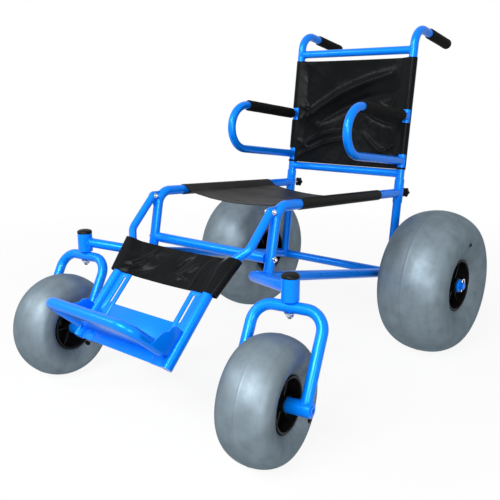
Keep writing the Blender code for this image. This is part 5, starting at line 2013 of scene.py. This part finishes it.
def back_sling(backrest: Backrest) -> Sling:
    """The back, on the two back tubes, notched round the arms.

    Args:
        backrest: The back that carries it.

    Returns:
        The sling, not yet built.
    """
    low = 0.371
    high = 0.757
    length = high - low
    half_notch = 0.023

    def on_tubes(v: float, across: float, out: float) -> Vector:
        """A point of the back in the chair's frame."""
        return BACK.at(across, -out, low + length * v)

    notches = tuple(
        ((arm - half_notch - low) / length, (arm + half_notch - low) / length)
        for arm in (backrest.arm_low, backrest.arm_high))
    folds = (
        Fold((-0.92, 0.42), (0.72, 0.86), 0.020, 0.0150),
        Fold((-0.60, 0.42), (0.80, 0.70), 0.020, -0.0110),
        Fold((-0.90, 0.16), (-0.18, 0.33), 0.007, 0.0085),
        Fold((-0.92, 0.06), (-0.05, 0.25), 0.008, 0.0080),
        Fold((-0.98, 0.22), (-0.72, 0.10), 0.005, 0.0050),
        Fold((-0.98, 0.01), (-0.74, 0.14), 0.004, 0.0060),
        Fold((-0.95, 0.56), (-0.70, 0.47), 0.006, 0.0055),
        Fold((-0.88, 0.60), (-0.86, 0.36), 0.006, 0.0045),
        Fold((0.92, 0.40), (0.20, 0.55), 0.010, -0.0060),
        Fold((0.90, 0.50), (0.40, 0.62), 0.010, 0.0055),
        Fold((0.78, 0.50), (0.92, 0.74), 0.007, 0.0045),
        Fold((0.88, 0.10), (0.30, 0.30), 0.010, 0.0040),
        Fold((0.90, 0.22), (0.55, 0.14), 0.008, 0.0035),
        Fold((-0.90, 0.98), (-0.55, 0.82), 0.012, 0.0030),
    )
    return Sling(
        name="back", node="back_sling", body="backrest", rests_on=("back_tube_L", "back_tube_R"),
        bore=backrest.tube_radius, length=length, sag=0.020, edge_sag=0.35, folds=folds, notches=notches,
        span=lambda v: (backrest.spacing / 2, 0.0), place=on_tubes)


def calf_strap(legs: LegRest) -> Sling:
    """The calf strap, looped round both hangers over their joggles.

    Args:
        legs: The leg rest that carries it.

    Returns:
        The sling, not yet built.
    """
    start = 0.165
    length = 0.113
    widths = (0.462, 0.424)
    cover = 0.0014
    step = 0.002
    radius = legs.tube_radius + cover

    def span(v: float) -> Flat:
        """The hanger's place, and how far the loop is drawn out past it.

        Args:
            v: The share along the strap.

        Returns:
            The hanger's distance from the middle, and the stretch.
        """
        along = start + length * v
        slope = abs(legs.centre(along + step) - legs.centre(along - step)) / (2 * step)
        inner = legs.centre(along) - radius * (math.hypot(1.0, slope) - 1.0)
        wide = widths[0] + (widths[1] - widths[0]) * v
        return inner, max(0.0, wide / 2 - radius - inner)

    def on_hangers(v: float, across: float, out: float) -> Vector:
        """A point of the strap in the chair's frame."""
        return LEGS.at(across, -start - length * v, out)

    folds = (
        Fold((-1.00, 0.70), (-0.45, 0.10), 0.010, 0.0055),
        Fold((-1.05, 0.95), (-0.60, 0.50), 0.007, 0.0050),
        Fold((-0.85, 0.85), (-0.30, 0.60), 0.012, -0.0030),
        Fold((0.55, 0.30), (0.20, 0.85), 0.012, 0.0035),
        Fold((0.35, 0.15), (0.10, 0.60), 0.010, -0.0030),
        Fold((0.75, 0.05), (0.62, 0.95), 0.006, 0.0030),
        Fold((0.60, 0.75), (0.05, 0.70), 0.010, 0.0030),
    )
    return Sling(
        name="calf", node="calf_strap", body="leg_rest", rests_on=("hanger_tube_L", "hanger_tube_R"),
        bore=legs.tube_radius, length=length, sag=0.012, seam=0.032, folds=folds, span=span,
        place=on_hangers, rows=46)


@dataclass(frozen=True)
class Lamp:
    """A soft box: its place, its width and height in metres and its power in watts."""

    name: str
    place: Point
    size: Flat
    power: float


@dataclass
class Studio:
    """Camera, lights, floor and background."""

    lens: float = 47.15
    sensor: float = 36.0
    eye: Point = (1.324, -2.0738, 0.8661)
    azimuth: float = math.radians(40.10)
    elevation: float = math.radians(13.23)
    lamps: tuple[Lamp, ...] = (
        Lamp("key", (0.5, -3.9, 3.3), (1.9, 1.9), 172.0),
        Lamp("spark", (1.35, -2.9, 1.9), (0.30, 0.30), 22.0),
        Lamp("window", (-2.2, -2.4, 2.4), (0.45, 0.90), 26.0),
        Lamp("fill", (3.1, -2.5, 1.1), (1.2, 1.2), 56.0),
    )
    aim: Point = (0.0, 0.0, 0.45)
    ambient: float = 0.13
    floor_radius: float = 14.0
    floor_level: float = -0.0005
    floor_tone: float = 0.95
    floor_bounce: float = 0.28
    shadow: float = 0.09
    shadow_reach: Flat = (0.7, 3.2)

    def build(self) -> None:
        """Set the stage."""
        scene = bpy.context.scene
        scene.view_settings.view_transform = "Standard"
        lens = bpy.data.cameras.new("camera")
        lens.lens = self.lens
        lens.sensor_width = self.sensor
        camera = bpy.data.objects.new("camera", lens)
        camera.location = CHAIR.at(*self.eye)
        camera.rotation_euler = (math.pi / 2 - self.elevation, 0.0, self.azimuth)
        scene.collection.objects.link(camera)
        scene.camera = camera
        for lamp in self.lamps:
            self.light(lamp)
        self.background(scene)
        self.floor()

    def light(self, lamp: Lamp) -> None:
        """Hang a soft box and aim it at the seat.

        Args:
            lamp: The soft box.
        """
        box = bpy.data.lights.new(lamp.name, "AREA")
        box.shape = "RECTANGLE"
        box.size, box.size_y = lamp.size
        box.energy = lamp.power
        item = bpy.data.objects.new(lamp.name, box)
        item.location = lamp.place
        item.rotation_euler = (Vector(self.aim) - Vector(lamp.place)).to_track_quat("-Z", "Y").to_euler()
        bpy.context.scene.collection.objects.link(item)

    def shown(self, board: Board) -> Wire:
        """1 for the rays that see the background itself.

        Args:
            board: The tree to work in.

        Returns:
            The share.
        """
        path = board.add("ShaderNodeLightPath")
        seen = path.of("Is Camera Ray") + path.of("Is Glossy Ray") + path.of("Is Transmission Ray")
        return seen.within(0.0, 1.0)

    def background(self, scene: bpy.types.Scene) -> None:
        """A white surround that lights the chair softly.

        Args:
            scene: The scene to light.
        """
        world = bpy.data.worlds.new("studio")
        world.use_nodes = True
        scene.world = world
        board = Board(world.node_tree)
        glow = world.node_tree.nodes["Background"]
        glow.inputs["Color"].default_value = (1.0, 1.0, 1.0, 1.0)
        board.feed(glow.inputs["Strength"], self.shown(board) * (1.0 - self.ambient) + self.ambient)

    def floor(self) -> None:
        """A wide pale floor that keeps the chair's shadow."""
        mesh = bpy.data.meshes.new("floor")
        corners = arc((0.0, 0.0), self.floor_radius, 0.0, 2 * math.pi, 64)[:-1]
        mesh.from_pydata([(x, y, self.floor_level) for x, y in corners], [], [tuple(range(len(corners)))])
        finish = bpy.data.materials.new("pale_floor")
        finish.use_nodes = True
        board = Board(finish.node_tree)
        shader = finish.node_tree.nodes["Principled BSDF"]
        shown = self.shown(board)
        tone = board.blend(shown, (self.floor_bounce,) * 3, (self.floor_tone,) * 3)
        board.feed(shader.inputs["Base Color"], tone)
        shader.inputs["Roughness"].default_value = 0.9
        white = board.add("ShaderNodeEmission", {}, {"Color": (1.0, 1.0, 1.0, 1.0)})
        place = board.add("ShaderNodeTexCoord", output="Object")
        away = board.add("ShaderNodeVectorMath", {"operation": "LENGTH"}, {0: place}, output="Value")
        share = shown * (away.within(*self.shadow_reach) * self.shadow + (1.0 - self.shadow))
        inputs = {0: share, 1: Wire(board, shader.outputs[0]), 2: white}
        mixed = board.add("ShaderNodeMixShader", {}, inputs)
        board.feed(finish.node_tree.nodes["Material Output"].inputs["Surface"], mixed)
        mesh.materials.append(finish)
        item = bpy.data.objects.new("floor", mesh)
        bpy.context.scene.collection.objects.link(item)


def main() -> None:
    """Build the stage and every sub-assembly in order."""
    logging.basicConfig(level=logging.INFO, format="%(message)s")
    Studio().build()
    chassis = Chassis()
    backrest = Backrest()
    legs = LegRest()
    rear = Wheel(valves={
        Side.LEFT: ValveSpot(math.radians(85.2), 0.779), Side.RIGHT: ValveSpot(math.radians(120.0), 0.779)})
    front = Wheel(
        kind="front", diameter=0.322, width=0.146, hub=0.140, hub_width=0.098, axle=0.012, puckers=34,
        rim_reach=0.008, rib_inset=0.012, valves={
            Side.LEFT: ValveSpot(math.radians(-41.3), 0.715),
            Side.RIGHT: ValveSpot(math.radians(-124.2), 0.921, -1)})
    assemblies = [
        chassis, rear, front, Caster(), backrest, ClampKnobs(), legs, Footplate(), seat_sling(chassis),
        back_sling(backrest), calf_strap(legs)]
    for assembly in assemblies:
        assembly.build()
        assembly.dress()


if __name__ == "__main__":
    main()
